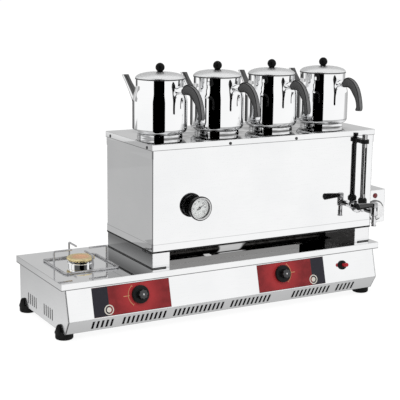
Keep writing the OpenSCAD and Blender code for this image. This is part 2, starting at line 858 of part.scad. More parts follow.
module igniter_button() color("#b5121b") bench() on_band(igniter_x, knob_rise)
    translate([0, 0, -barrel_bore + button_travel + rest_gap]) {
        l = barrel_bore - button_travel - rest_gap + bezel_h + button_out;
        rotate_extrude() polygon(concat([[0, 0], [button_r, 0]],
            arc([button_r - foot_edge, l - foot_edge], foot_edge, 0, 90, 5), [[0, l]]));
    }

// Side burner

module at_side_burner() translate([side_burner_x, side_burner_y, base_top]) children();

module side_burner_cup() color("silver") bench() at_side_burner() rotate_extrude() polygon([
    [0, -cup_neck_l], [cup_neck_r, -cup_neck_l], [cup_neck_r, 0], [cup_r, 0], [cup_r, cup_step_h],
    [cup_r - cup_step, cup_step_h + cup_step], [cup_r - cup_step, cup_h],
    [cup_r - cup_step - cup_wall, cup_h], [cup_r - cup_step - cup_wall, cup_wall],
    [cup_neck_r - cup_wall, cup_wall], [cup_neck_r - cup_wall, jet_wall - cup_neck_l],
    [0, jet_wall - cup_neck_l]]);

module side_burner_cap() color("#d8b98a") bench() at_side_burner() translate([0, 0, cup_h + rest_gap]) {
    ring_r = cup_r - cup_step;
    plug_r = ring_r - cup_wall - rest_gap;
    top = cap_ring_h + cap_t;
    difference() {
        rotate_extrude() polygon([
            [plug_r - cup_wall, -cap_plug_h], [plug_r, -cap_plug_h], [plug_r, 0], [ring_r, 0],
            [ring_r, cap_ring_h], [cap_r - cap_edge / 2, cap_ring_h], [cap_r, cap_ring_h + cap_edge / 2],
            [cap_r, top - cap_edge], [cap_r - cap_edge, top], [cap_dish_r + cap_edge, top],
            [cap_dish_r, top - cap_edge / 2], [0, top - cap_edge / 2], [0, cap_ring_h],
            [plug_r - cup_wall, cap_ring_h]]);
        for (i = [0:cap_ports - 1]) rotate([0, 0, 360 * (i + 0.5) / cap_ports])
            translate([plug_r - cup_wall - over, -port_w / 2, -over])
                cube([ring_r - plug_r + cup_wall + 2 * over, port_w, cap_ring_h - cap_edge / 2 + over]);
    }
}

module pan_trivet() color("dimgray") bench() at_side_burner() translate([0, 0, wire_r + rest_gap]) {
    hx = trivet_w / 2 - wire_r;
    hy = trivet_d / 2 - wire_r;
    rise = trivet_h - 2 * wire_r - rest_gap;
    bent_rod([[0, -hy, 0], [hx, -hy, 0], [hx, hy, 0], [-hx, hy, 0], [-hx, -hy, 0], [0, -hy, 0]],
        wire_r, trivet_bend);
    for (s = [-1, 1]) {
        bent_rod([[s * hx, 0, 0], [s * hx, 0, rise], [s * (hx - rest_l), 0, rise]], wire_r, trivet_bend / 2);
        bent_rod([[0, s * hy, 0], [0, s * hy, rise], [0, s * (hy - rest_l), rise]], wire_r, trivet_bend / 2);
    }
}

// Main burner under the tank: two port tubes on straps across the opening
module main_burner() color("gray") bench() {
    x0 = burner_hole_x[0] + burner_end_in;
    x1 = burner_hole_x[1] - burner_end_in;
    y0 = burner_hole_y[0];
    y1 = burner_hole_y[1];
    low = burner_tube_z - burner_tube_r + sheet / 2;
    ys = [burner_mid.y - burner_tube_gap / 2, burner_mid.y + burner_tube_gap / 2];
    for (y = ys) difference() {
        translate([x0, y, burner_tube_z]) rotate([0, 90, 0]) cylinder(h = x1 - x0, r = burner_tube_r);
        for (i = [1:burner_ports]) translate([x0 + i * (x1 - x0) / (burner_ports + 1),
            y - burner_tube_r, burner_tube_z + burner_tube_r - port_depth])
                cube([port_w, 2 * burner_tube_r, port_depth + over]);
    }
    stick([burner_mid.x, ys[0], burner_tube_z], [burner_mid.x, ys[1], burner_tube_z], burner_tube_r - sheet);
    stick([burner_mid.x, burner_mid.y, burner_tube_z - burner_tube_r],
        [burner_mid.x, burner_mid.y, burner_tube_z], 2 * pipe_r);
    for (x = [x0 + burner_strap_in, x1 - burner_strap_in - burner_strap_w]) along_x(x, x + burner_strap_w)
        polygon(folded([[y0 - burner_strap_lap, base_top], [y0 + burner_strap_gap, base_top],
            [y0 + burner_strap_gap, low - sheet], [y1 - burner_strap_gap, low - sheet],
            [y1 - burner_strap_gap, base_top], [y1 + burner_strap_lap, base_top]], sheet));
}

// Tank on its stand

module stand() linear_extrude(stand_h) polygon(folded([
    [stand_w, tank_d - 2 * stand_inset], [0, tank_d - 2 * stand_inset], [0, 0], [stand_w, 0]], sheet));

module tank_stands() color("whitesmoke") bench() {
    translate([tank_x + stand_inset, tank_y + stand_inset, base_top]) stand();
    translate([tank_right - stand_inset, tank_y + stand_inset, base_top]) mirror([1, 0, 0]) stand();
}

// Outline of the tank between two ends, with a proud band at its top and bottom
module banded(a0, a1) {
    z1 = cover_top - sheet;
    zb = tank_z + bottom_band;
    zt = cover_top - top_band;
    edge = [[a1, tank_z], [a1, zb], [a1 - joggle, zb + fold_run], [a1 - joggle, zt - fold_run],
        [a1, zt], [a1, z1]];
    polygon(concat(edge, [for (i = [len(edge) - 1:-1:0]) [a0 + a1 - edge[i].x, edge[i].y]]));
}

module tank_shell() color("whitesmoke") bench() difference() {
    intersection() {
        along_x(tank_x, tank_right) banded(tank_y, tank_y + tank_d);
        along_y(tank_y, tank_y + tank_d) banded(tank_x, tank_right);
    }
    translate([tank_x + wall, tank_y + wall, tank_z + sheet])
        cube([tank_w - 2 * wall, tank_d - 2 * wall, tank_h]);
    at_cover_screws() drill(screw_l, screw_r + hole_gap);
    on_tank(tap_wx, tap_wz) drill(wall, neck_r + hole_gap);
    on_tank(dial_wx, dial_wz) drill(wall, dial_neck_r + hole_gap);
    translate([tank_right, heater_y, heater_z]) rotate([0, 90, 0]) drill(wall, heater_r + hole_gap);
}

module tank_cover() color("gainsboro") bench() difference() {
    translate([tank_x - cover_out, tank_y - cover_out, cover_top - skirt_h])
        cube([tank_w + 2 * cover_out, tank_d + 2 * cover_out, skirt_h]);
    translate([tank_x - cover_gap, tank_y - cover_gap, cover_top - skirt_h - over])
        cube([tank_w + 2 * cover_gap, tank_d + 2 * cover_gap, skirt_h - sheet + over]);
    for (i = [0:pots - 1]) translate([pot_x(i), pot_y, cover_top - sheet - over])
        cylinder(h = sheet + 2 * over, r = steam_hole_r);
    at_cover_screws() drill(cover_out, screw_r + hole_gap);
}

// Heating element: a hairpin rod on a round flange, put in from the tank's right end
module heating_element() color("gray") bench() {
    x = tank_right - joggle;
    stick([x, heater_y, heater_z], [x + heater_flange_t, heater_y, heater_z], heater_flange_r);
    stick([x - heater_spigot, heater_y, heater_z], [x, heater_y, heater_z], heater_r);
    xs = [x - heater_spigot, x - heater_spigot - heater_l];
    bent_rod([[xs[0], heater_y - heater_half, heater_z], [xs[1], heater_y - heater_half, heater_z],
        [xs[1], heater_y + heater_half, heater_z], [xs[0], heater_y + heater_half, heater_z]],
        heater_rod_r, heater_bend);
}

// Control box

// Frame on the control box's front face, Z straight out of it
module on_box(z) translate([box_mid_x, box_y, z]) rotate([90, 0, 0]) children();

module control_box() color("whitesmoke") bench() difference() {
    translate([tank_right + seam, box_y, box_z]) cube([box_w - seam, box_d, box_h]);
    translate([tank_right - over, box_y + sheet, box_z + sheet])
        cube([box_w - sheet + over, box_d - 2 * sheet, box_h - 2 * sheet]);
    on_box(dial_knob_z) drill(sheet, stat_neck_r + hole_gap);
    on_box(lamp_z) drill(sheet, lamp_r + hole_gap);
    translate([gland_x, gland_y, box_z + sheet]) drill(sheet, gland_r + hole_gap);
}

module thermostat() color("#d8d4c8") bench() on_box(dial_knob_z) {
    translate([-stat_w / 2, -stat_w / 2, -sheet - seam - stat_d]) cube([stat_w, stat_w, stat_d]);
    translate([0, 0, -2 * sheet]) cylinder(h = 2 * sheet + seam, r = stat_neck_r);
    cylinder(h = stat_spindle_l, r = stat_spindle_r);
}

// Fluted grip on a round skirt, turning on the thermostat's spindle
module thermostat_knob() color("gainsboro") bench() on_box(dial_knob_z) translate([0, 0, dial_knob_gap])
    difference() {
        grip_r = dial_knob_r * dial_grip_share;
        rotate_extrude() polygon([[0, 0], [dial_knob_r, 0], [dial_knob_r, dial_skirt_t / 2],
            [dial_knob_r - dial_skirt_t, dial_skirt_t], [grip_r, dial_skirt_t],
            [grip_r - foot_edge / 2, dial_knob_h - foot_edge], [grip_r - foot_edge, dial_knob_h],
            [0, dial_knob_h]]);
        for (i = [0:flutes - 1]) rotate([0, 0, 360 * (i + 0.5) / flutes])
            translate([grip_r + flute_r / 2, 0, dial_skirt_t + foot_edge / 2])
                cylinder(h = dial_knob_h, r = flute_r);
        translate([0, 0, -over])
            cylinder(h = stat_spindle_l - dial_knob_gap + rest_gap + over, r = stat_spindle_r + run_gap);
    }

module pilot_lamp() color("#8c1c1c") bench() on_box(lamp_z) {
    translate([0, 0, -lamp_in]) cylinder(h = lamp_in, r = lamp_r);
    rotate_extrude() polygon(concat([[0, 0], [lamp_bezel_r, 0], [lamp_bezel_r, sheet], [lamp_r, 2 * sheet]],
        arc([0, 2 * sheet - lamp_r], lamp_r * sqrt(2), 45, 90, 5)));
}

module cable_gland() color("#202022") bench() translate([gland_x, gland_y, box_z]) difference() {
    union() {
        translate([0, 0, -gland_hex_h]) cylinder(h = gland_hex_h, r = gland_hex_r, $fn = 6);
        cylinder(h = sheet + gland_hex_h, r = gland_r);
        translate([0, 0, sheet + seam]) cylinder(h = gland_nut_h, r = gland_hex_r, $fn = 6);
        translate([0, 0, -gland_hex_h - gland_cap_h])
            cylinder(h = gland_cap_h, r1 = gland_r, r2 = gland_cap_r);
    }
    translate([0, 0, -gland_hex_h - gland_cap_h - over])
        cylinder(h = gland_cap_h + 2 * gland_hex_h + sheet + 2 * over, r = gland_bore_r);
}

// Thermometer

module thermometer_case() color("#1a1a1c") bench() on_tank(dial_wx, dial_wz) {
    translate([0, 0, -wall - stem_l]) cylinder(h = stem_l + wall, r = stem_r);
    translate([0, 0, -dial_neck_in]) cylinder(h = dial_neck_in + seam, r = dial_neck_r);
    translate([0, 0, seam - joggle]) cylinder(h = case_nut_h, r = case_nut_r, $fn = 6);
    rotate_extrude() polygon([[0, 0], [dial_neck_r, 0], [dial_neck_r, case_back],
        [case_r - sheet, case_back], [case_r, case_back + sheet], [case_r, dial_out - bezel_depth],
        [dial_r, dial_out - bezel_depth],
        [dial_r, dial_out - sheet], [dial_r - sheet, dial_out], [case_r - case_wall, dial_out],
        [case_r - 2 * case_wall, dial_out - sheet], [case_r - 2 * case_wall, glass_z + glass_t + seam],
        [case_r - case_wall, glass_z + glass_t + seam], [case_r - case_wall, case_back + case_wall],
        [0, case_back + case_wall]]);
}

module thermometer_dial() color("white") bench() on_tank(dial_wx, dial_wz) {
    translate([0, 0, case_back + case_wall + seam])
        cylinder(h = face_z - case_back - case_wall - seam, r = case_r - case_wall - seam);
    translate([0, 0, face_z]) cylinder(h = needle_z + needle_t - face_z + pin_r, r = pin_r);
}

module thermometer_needle() color("#161616") bench() on_tank(dial_wx, dial_wz)
    translate([0, 0, needle_z]) rotate([0, 0, needle_rest]) difference() {
        union() {
            cylinder(h = needle_t, r = hub_r);
            linear_extrude(needle_t) polygon([[-needle_tail, -needle_w / 2], [-needle_tail, needle_w / 2],
                [0, needle_w / 2], [needle_l, needle_w / 8], [needle_l, -needle_w / 8], [0, -needle_w / 2]]);
        }
        translate([0, 0, -over]) cylinder(h = needle_t + 2 * over, r = pin_r + run_gap);
    }

module thermometer_glass() color("lightblue", 0.4) bench() on_tank(dial_wx, dial_wz)
    translate([0, 0, glass_z]) cylinder(h = glass_t, r = case_r - case_wall - seam);

// Tap

module tap_body() color("silver") bench() on_tank(tap_wx, tap_wz) difference() {
    union() {
        translate([0, 0, -tail_l]) cylinder(h = tail_l + tap_reach, r = neck_r);
        translate([0, 0, seam - joggle]) cylinder(h = tap_flange_t, r = tap_flange_r);
        translate([0, 0, gauge_out]) sphere(r = ball_out_r);
        translate([0, 0, gauge_out]) rotate([-90, 0, 0]) cylinder(h = boss_h, r = boss_r);
        translate([0, 0, tap_reach]) rotate([-90, 0, 0]) rotate_extrude() polygon([
            [0, -mouth_drop], [mouth_r, -mouth_drop], [mouth_r, mouth_lip - mouth_drop],
            [flow_r + mouth_wall, 2 * mouth_lip - mouth_drop],
            [flow_r + mouth_wall, -barrel_down - mouth_lip],
            [barrel_r, -barrel_down], [barrel_r, barrel_up], [0, barrel_up]]);
    }
    translate([0, 0, -tail_l - over]) cylinder(h = tail_l + tap_reach + over, r = flow_r);
    translate([0, 0, tap_reach]) rotate([-90, 0, 0]) {
        translate([0, 0, -mouth_drop - over]) cylinder(h = mouth_drop + over, r = flow_r);
        translate([0, 0, -barrel_down]) cylinder(h = barrel_down + barrel_up + over, r = plug_r + run_gap);
    }
    translate([0, 0, gauge_out]) rotate([-90, 0, 0]) cylinder(h = boss_h + over, r = port_r);
}

module tap_back_nut() color("goldenrod") bench() on_tank(tap_wx, tap_wz)
    translate([0, 0, -wall - seam - back_nut_t]) difference() {
        cylinder(h = back_nut_t, r = back_nut_r, $fn = 6);
        translate([0, 0, -over]) cylinder(h = back_nut_t + 2 * over, r = neck_r + hole_gap);
    }

// Frame of the tap's barrel, Z up its axis
module at_barrel() translate([tap_wx, tank_y - tap_reach, tap_wz]) children();

module tap_plug() color("silver") bench() at_barrel() difference() {
    union() {
        translate([0, 0, -barrel_down + rest_gap]) cylinder(h = barrel_down + barrel_up, r = plug_r);
        translate([0, 0, barrel_up + rest_gap]) rotate_extrude() polygon(concat([[0, 0], [plug_head_r, 0]],
            arc([plug_head_r - foot_edge, plug_head_h - foot_edge], foot_edge, 0, 90, 5),
            [[0, plug_head_h]]));
        stick([0, 0, grip_up], [-plug_head_r - lever_pin_l, 0, grip_up], lever_pin_r);
    }
    translate([0, 0, -barrel_down - over]) cylinder(h = barrel_down + over, r = port_r);
    stick([0, 0, 0], [plug_r + over, 0, 0], port_r);
}

module tap_grip() color("#151515") bench() at_barrel()
    translate([-plug_head_r - seam, 0, grip_up]) rotate([0, -90, 0]) difference() {
        rotate_extrude() polygon(concat([[0, 0], [tap_grip_r - grip_nose, 0], [tap_grip_r, grip_nose]],
            arc([tap_grip_r - 2 * grip_nose, tap_grip_l - 2 * grip_nose], 2 * grip_nose, 0, 90, 6),
            [[0, tap_grip_l]]));
        translate([0, 0, -over]) cylinder(h = lever_pin_l + over, r = lever_pin_r + hole_gap);
    }

// Gauge

// Frame of the gauge, Z up from the top of its boss
module at_gauge() translate([tap_wx, tank_y - gauge_out, tap_wz + boss_h]) children();

module gauge_nut() color("#1c1c1e") bench() at_gauge() difference() {
    rotate_extrude() polygon([[0, seam], [gauge_nut_r - foot_edge, seam], [gauge_nut_r, foot_edge],
        [gauge_nut_r, gauge_nut_h * nut_side_share], [gauge_nut_r * nut_top_share, gauge_nut_h],
        [0, gauge_nut_h]]);
    translate([0, 0, glass_seat]) cylinder(h = gauge_nut_h, r = glass_r + hole_gap);
    translate([0, 0, -over]) cylinder(h = gauge_nut_h, r = port_r);
}

module gauge_glass() color("lightblue", 0.5) bench() at_gauge() translate([0, 0, glass_seat])
    tube(gauge_h - glass_seat - guard_top - seam, glass_r, glass_r - glass_wall);

module gauge_guard() color("silver") bench() at_gauge() translate([0, 0, gauge_nut_h + seam]) difference() {
    l = gauge_h - gauge_nut_h - seam;
    cylinder(h = l, r = guard_r);
    translate([0, 0, -over]) cylinder(h = l - guard_top + over, r = glass_r + hole_gap);
    translate([-guard_slot_w / 2, -guard_r - over, clamp_h])
        cube([guard_slot_w, guard_r + over, l - clamp_drop - 3 * clamp_h]);
}

module gauge_clamp() color("#1a1a1c") bench() at_gauge()
    translate([0, 0, gauge_h - clamp_drop - clamp_h]) difference() {
        union() {
            cylinder(h = clamp_h, r = clamp_r);
            translate([-clamp_arm_w / 2, 0, 0]) cube([clamp_arm_w, gauge_out - seam, clamp_h]);
        }
        translate([0, 0, -over]) cylinder(h = clamp_h + 2 * over, r = guard_r + hole_gap);
    }

// Teapots

// Outer half outline of a pot, drawn in by a wall, from its floor to its rim
function pot_side(in) =
    let(z0 = shoulder_shares[0] * pot_h, z1 = shoulder_shares[1] * pot_h, fall = pot_r - pot_neck_r)
    concat([[pot_foot_r - in, in]],
        arc([pot_r - pot_corner, belly_z], pot_corner - in, -60, 0, 5),
        [for (i = [0:shoulder_steps]) let(t = i / shoulder_steps)
            [pot_r - in - fall * (1 - cos(180 * t)) / 2, z0 + (z1 - z0) * t]],
        [[pot_neck_r - in, pot_h]]);

// Spout, drawn in by a wall; a bore also runs out past the mouth
function spout_section(s, in) = [pot_r + s[0] * (spout_reach - pot_r),
    s[1] * pot_h + (s[0] == 1 && in > 0 ? over / 2 : 0), s[2] * spout_r - in, s[3] * spout_r - in, s[4]];
module spout(in) mirror([1, 0, 0])
    skin([for (s = smooth([for (t = spout_shares) spout_section(t, in)], loft_steps)) ring(s, loft_sides)]);

module pot_body(i) color("#d9dadd") bench() at_pot(i) difference() {
    floor_z = foot_lift + pot_wall;
    union() {
        rotate_extrude() polygon(concat([[0, foot_lift], [pot_foot_r - foot_rim, foot_lift],
            [pot_foot_r - foot_rim, 0], [pot_foot_r - pot_wall, 0]], pot_side(0), [[0, pot_h]]));
        spout(0);
        translate([pot_neck_r, 0, ferrule_z]) rotate([0, 90, 0])
            cylinder(h = ferrule_end - pot_neck_r, r = ferrule_r);
        translate([ferrule_end - over, 0, ferrule_z]) rotate([0, 90, 0])
            cylinder(h = ferrule_stud_l + over, r = ferrule_stud_r);
    }
    rotate_extrude() polygon(concat([[0, floor_z], [pot_foot_r - foot_rim, floor_z]],
        [for (p = pot_side(pot_wall)) if (p.y > floor_z) p],
        [[pot_neck_r - pot_wall, pot_h + over], [0, pot_h + over]]));
    spout(pot_wall);
}

module pot_handle(i) color("#1b1b1d") bench() at_pot(i) difference() {
    root = ferrule_end + rest_gap;
    sections = [for (s = grip_shares) [root + s[0] * (grip_reach - root), ferrule_z - s[1] * grip_drop,
        s[2] * grip_t, s[3] * grip_t, s[4]]];
    skin([for (s = smooth(sections, loft_steps)) ring(s, loft_sides)]);
    translate([ferrule_end - over, 0, ferrule_z]) rotate([0, 90, 0])
        cylinder(h = ferrule_stud_l + over + rest_gap, r = ferrule_stud_r + hole_gap);
}

// Dome of the lid, as an arc from its rim to its top
function dome(r, h, z, n) = let(big = (r * r + h * h) / (2 * h), a = asin(r / big))
    [for (i = [0:n]) [big * sin(a * (1 - i / n)), z + h - big + big * cos(a * (1 - i / n))]];

module pot_lid(i) color("#d3d4d6") bench() at_pot(i) translate([0, 0, pot_h + rest_gap]) difference() {
    r = pot_neck_r + rim_lap;
    plug_r = pot_neck_r - pot_wall - seat_in;
    union() {
        rotate_extrude() polygon(concat([[0, 0], [r, 0]], dome(r, dome_h, lid_wall, 10)));
        translate([0, 0, -lid_ring_h]) cylinder(h = lid_ring_h, r = plug_r);
    }
    rotate_extrude() polygon(concat([[0, -lid_ring_h - over], [plug_r - lid_wall, -lid_ring_h - over]],
        dome(plug_r - lid_wall, dome_h - lid_wall, 0, 10)));
    translate([0, 0, dome_h]) cylinder(h = 3 * lid_wall, r = stud_r + hole_gap, center = true);
}

module pot_lid_knob(i) color("#131314") bench() at_pot(i)
    translate([0, 0, pot_h + rest_gap + dome_h + lid_wall + seam]) {
        rotate_extrude() polygon(concat([[0, 0], [flare_r, 0], [flare_r, flare_edge]],
            arc([flare_r, flare_h + flare_edge], flare_h, -90, -150, 5),
            [[knob_neck_r, knob_neck_h], [0, knob_neck_h]]));
        translate([0, 0, knob_neck_h + ball_r * ball_rise_share]) sphere(r = ball_r);
        translate([0, 0, -4 * lid_wall]) cylinder(h = 4 * lid_wall + flare_edge, r = stud_r);
    }

base_top_plate();
base_front_panel();
base_left_side();
base_right_side();
base_back_panel();
base_floor_plate();
corner_feet();
panel_screws();
control_labels();
left_burner_knob();
right_burner_knob();
left_valve_spindle();
right_valve_spindle();
left_gas_valve();
right_gas_valve();
gas_manifold();
burner_feed_pipes();
igniter_body();
igniter_button();
side_burner_cup();
side_burner_cap();
pan_trivet();
main_burner();
tank_stands();
tank_shell();
tank_cover();
heating_element();
control_box();
thermostat();
thermostat_knob();
pilot_lamp();
cable_gland();
thermometer_case();
thermometer_dial();
thermometer_needle();
thermometer_glass();
tap_body();
tap_back_nut();
tap_plug();
tap_grip();
gauge_nut();
gauge_glass();
gauge_guard();
gauge_clamp();
pot_body(0);  // pot_1_body
pot_handle(0);  // pot_1_handle
pot_lid(0);  // pot_1_lid
pot_lid_knob(0);  // pot_1_lid_knob
pot_body(1);  // pot_2_body
pot_handle(1);  // pot_2_handle
pot_lid(1);  // pot_2_lid
pot_lid_knob(1);  // pot_2_lid_knob
pot_body(2);  // pot_3_body
pot_handle(2);  // pot_3_handle
pot_lid(2);  // pot_3_lid
pot_lid_knob(2);  // pot_3_lid_knob
pot_body(3);  // pot_4_body
pot_handle(3);  // pot_4_handle
pot_lid(3);  // pot_4_lid
pot_lid_knob(3);  // pot_4_lid_knob
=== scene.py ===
"""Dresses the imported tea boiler: camera, studio, materials, and printed, turned and lofted pieces."""

import math

import bmesh
import bpy
from mathutils import Matrix, Vector


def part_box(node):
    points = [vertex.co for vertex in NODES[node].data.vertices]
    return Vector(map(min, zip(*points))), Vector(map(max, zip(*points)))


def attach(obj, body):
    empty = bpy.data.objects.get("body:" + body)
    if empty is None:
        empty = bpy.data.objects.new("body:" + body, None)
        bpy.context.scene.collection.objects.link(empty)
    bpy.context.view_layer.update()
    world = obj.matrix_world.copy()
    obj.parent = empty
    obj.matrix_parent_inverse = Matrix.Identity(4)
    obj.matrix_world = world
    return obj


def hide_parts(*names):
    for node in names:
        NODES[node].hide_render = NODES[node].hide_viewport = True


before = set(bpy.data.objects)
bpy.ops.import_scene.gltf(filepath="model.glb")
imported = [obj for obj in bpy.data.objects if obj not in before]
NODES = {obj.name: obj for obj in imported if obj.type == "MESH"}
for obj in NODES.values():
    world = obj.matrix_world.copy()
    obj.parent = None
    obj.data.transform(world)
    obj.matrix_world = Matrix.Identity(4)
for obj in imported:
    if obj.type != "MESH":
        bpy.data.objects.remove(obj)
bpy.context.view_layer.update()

MM = 0.001
# The bench frame's origin in the row frame: the front left corner of the base top plate
BENCH = Vector((-515, -140.825, 0)) * MM


def bench(x, y, z):
    """A point of the bench frame, in millimetres, as a point of the row frame in metres."""
    return BENCH + Vector((x, y, z)) * MM


def add_object(name, data):
    obj = bpy.data.objects.new(name, data)
    bpy.context.scene.collection.objects.link(obj)
    return obj


def loose(name, mesh):
    """An object of a mesh that is drawn ready."""
    bmesh.ops.recalc_face_normals(mesh, faces=mesh.faces)
    data = bpy.data.meshes.new(name)
    mesh.to_mesh(data)
    mesh.free()
    return add_object(name, data)


ORIGIN = bench(0, 0, 0)
RIGHT, LEFT, BACK, FRONT, UP, DOWN = (1, 0, 0), (-1, 0, 0), (0, 1, 0), (0, -1, 0), (0, 0, 1), (0, 0, -1)

# Places on the bench, in millimetres
TANK_X, TANK_END, TANK_Y, TANK_BACK, TANK_FOOT = 262, 962, 25, 305, 194
TANK_MIDDLE_X, BASE_MIDDLE_X = 612, 488
PLATE_TOP = 152
DIAL_X, DIAL_Z, DIAL_OUT = 389, 306, 17
SIDE_BURNER = (118, 156)
# The main burner's top has painted light patches to the left of this
BURNER_PALE_X = 520
POT_1_X, POT_PITCH, POT_Y, POT_FOOT_Z = 350.25, 174.5, 157, 477.3

# Camera

IMAGE = 400
FOCAL_PX = 1103.305
YAW, PITCH, ROLL = 0.51014, 0.20356, -0.01097
CAMERA_AT = (-977.597, -2439.088, 905.862)


def make_camera():
    forward = Vector((math.sin(YAW) * math.cos(PITCH), math.cos(YAW) * math.cos(PITCH), -math.sin(PITCH)))
    level = Vector((math.cos(YAW), -math.sin(YAW), 0))
    down = forward.cross(level)
    right = level * math.cos(ROLL) + down * math.sin(ROLL)
    low = down * math.cos(ROLL) - level * math.sin(ROLL)
    data = bpy.data.cameras.new("camera")
    data.sensor_width = 36
    data.lens = FOCAL_PX / IMAGE * data.sensor_width
    data.clip_start, data.clip_end = 0.05, 60
    cam = add_object("camera", data)
    turn = Matrix((right, -low, -forward)).transposed().to_4x4()
    cam.matrix_world = Matrix.Translation(bench(*CAMERA_AT)) @ turn
    bpy.context.scene.camera = cam


make_camera()


# Materials

class Look:
    """A Principled material and short calls for the nodes that vary it over the surface."""

    def __init__(self, name, colour, metallic=0.0, roughness=0.5, **values):
        self.mat = bpy.data.materials.new(name)
        self.mat.use_nodes = True
        self.tree = self.mat.node_tree
        self.shader = self.tree.nodes["Principled BSDF"]
        self.shader.inputs["Base Color"].default_value = (*colour, 1)
        self.shader.inputs["Metallic"].default_value = metallic
        self.shader.inputs["Roughness"].default_value = roughness
        for socket, value in values.items():
            self.shader.inputs[socket.replace("_", " ")].default_value = value
        self.paint = None
        self.relief = None
        self.base = colour

    def add(self, kind, **values):
        node = self.tree.nodes.new("ShaderNode" + kind)
        for key, value in values.items():
            setattr(node, key, value)
        return node

    def link(self, a, b):
        self.tree.links.new(a, b)

    def point(self, origin=(0, 0, 0), scale=(1, 1, 1)):
        """The point on the object, measured from an origin and then scaled."""
        place = self.add("TexCoord").outputs["Object"]
        shift = self.add("VectorMath", operation="SUBTRACT")
        self.link(place, shift.inputs[0])
        shift.inputs[1].default_value = origin
        size = self.add("VectorMath", operation="MULTIPLY")
        self.link(shift.outputs[0], size.inputs[0])
        size.inputs[1].default_value = scale
        return size.outputs[0]

    def noise(self, scale, detail=2.0, stretch=(1, 1, 1), where=None):
        node = self.add("TexNoise")
        node.inputs["Scale"].default_value = scale
        node.inputs["Detail"].default_value = detail
        self.link(where or self.point(scale=stretch), node.inputs["Vector"])
        return node.outputs["Fac"]

    def ranged(self, value, low, high, out_low=0.0, out_high=1.0, smooth=False):
        node = self.add("MapRange", interpolation_type="SMOOTHSTEP" if smooth else "LINEAR")
        self.link(value, node.inputs["Value"])
        for key, v in (("From Min", low), ("From Max", high), ("To Min", out_low), ("To Max", out_high)):
            node.inputs[key].default_value = v
        return node.outputs["Result"]

    def maths(self, operation, a, b):
        node = self.add("Math", operation=operation)
        for i, v in enumerate((a, b)):
            if isinstance(v, (int, float)):
                node.inputs[i].default_value = v
            else:
                self.link(v, node.inputs[i])
        return node.outputs[0]

    def radius(self, origin, axes=(1, 1, 1)):
        """Distance from a point, or from an axis where one of the axes is left out."""
        node = self.add("VectorMath", operation="LENGTH")
        self.link(self.point(origin, axes), node.inputs[0])
        return node.outputs["Value"]

    def along(self, direction, origin=(0, 0, 0)):
        """Distance from a point along a direction."""
        node = self.add("VectorMath", operation="DOT_PRODUCT")
        self.link(self.point(origin), node.inputs[0])
        node.inputs[1].default_value = direction
        return node.outputs["Value"]

    def tint(self, mask, colour, amount=1.0):
        """Lays a colour over the paint where the mask is one."""
        mix = self.add("Mix", data_type="RGBA")
        if self.paint is None:
            mix.inputs["A"].default_value = (*self.base, 1)
        else:
            self.link(self.paint, mix.inputs["A"])
        mix.inputs["B"].default_value = (*colour, 1)
        self.link(self.maths("MULTIPLY", mask, amount), mix.inputs["Factor"])
        self.paint = mix.outputs["Result"]
        self.link(self.paint, self.shader.inputs["Base Color"])
        return self

    def edges(self, radius, colour, amount=0.8):
        """Paints a thin dark line along every edge, a painted shade standing in for the dark that bends and
        gaps show.
        """
        soft = self.add("Bevel", samples=4)
        soft.inputs["Radius"].default_value = radius
        dot = self.add("VectorMath", operation="DOT_PRODUCT")
        self.link(soft.outputs[0], dot.inputs[0])
        self.link(self.add("NewGeometry").outputs["Normal"], dot.inputs[1])
        return self.tint(self.ranged(dot.outputs["Value"], 0.985, 0.86), colour, amount)

    def faces(self, direction, low=0.5, high=0.8):
        """One where the surface faces along a direction."""
        dot = self.add("VectorMath", operation="DOT_PRODUCT")
        self.link(self.add("TexCoord").outputs["Normal"], dot.inputs[0])
        dot.inputs[1].default_value = direction
        return self.ranged(dot.outputs["Value"], low, high)

    def between(self, value, a, b, soft=0.0005):
        """One where a value lies between two levels, with soft ends."""
        return self.both(self.ranged(value, a - soft, a + soft), self.ranged(value, b + soft, b - soft))

    def both(self, first, *others):
        """One where every mask is one."""
        for other in others:
            first = self.maths("MULTIPLY", first, other)
        return first

    def glow(self, amount):
        """A faint white painted light of its own, from a number or a mask."""
        self.shader.inputs["Emission Color"].default_value = (1, 1, 1, 1)
        if isinstance(amount, (int, float)):
            self.shader.inputs["Emission Strength"].default_value = amount
        else:
            self.link(amount, self.shader.inputs["Emission Strength"])

    def rough(self, value, low, high):
        self.link(self.ranged(value, 0.25, 0.75, low, high), self.shader.inputs["Roughness"])
        return self

    def bump(self, value, height):
        """Raises the surface by up to a height in metres."""
        node = self.add("Bump")
        node.inputs["Strength"].default_value = 1.0
        node.inputs["Distance"].default_value = height
        self.link(value, node.inputs["Height"])
        if self.relief is not None:
            self.link(self.relief, node.inputs["Normal"])
        self.relief = node.outputs["Normal"]
        self.link(self.relief, self.shader.inputs["Normal"])
        return self


def steel(name, tone, rough, grain=(1, 1, 1), warp=0.0, scratch=0.0):
    """Sheet or spun stainless steel: a faint cast, brushed grain and a slow waviness."""
    look = Look(name, (tone, tone * 1.003, tone * 1.008), metallic=1.0, roughness=rough)
    cloud = look.noise(7.0, 3.0)
    look.tint(look.ranged(cloud, 0.35, 0.7), (tone * 0.95, tone * 0.957, tone * 0.965))
    brush = look.noise(1.0, 4.0, stretch=grain)
    look.tint(look.ranged(brush, 0.45, 0.8), (tone * 0.93, tone * 0.935, tone * 0.94), 0.5)
    look.rough(brush, rough * 0.75, rough * 1.35)
    if scratch:
        look.bump(brush, scratch)
    if warp:
        look.bump(look.noise(3.5, 1.0), warp)
    return look


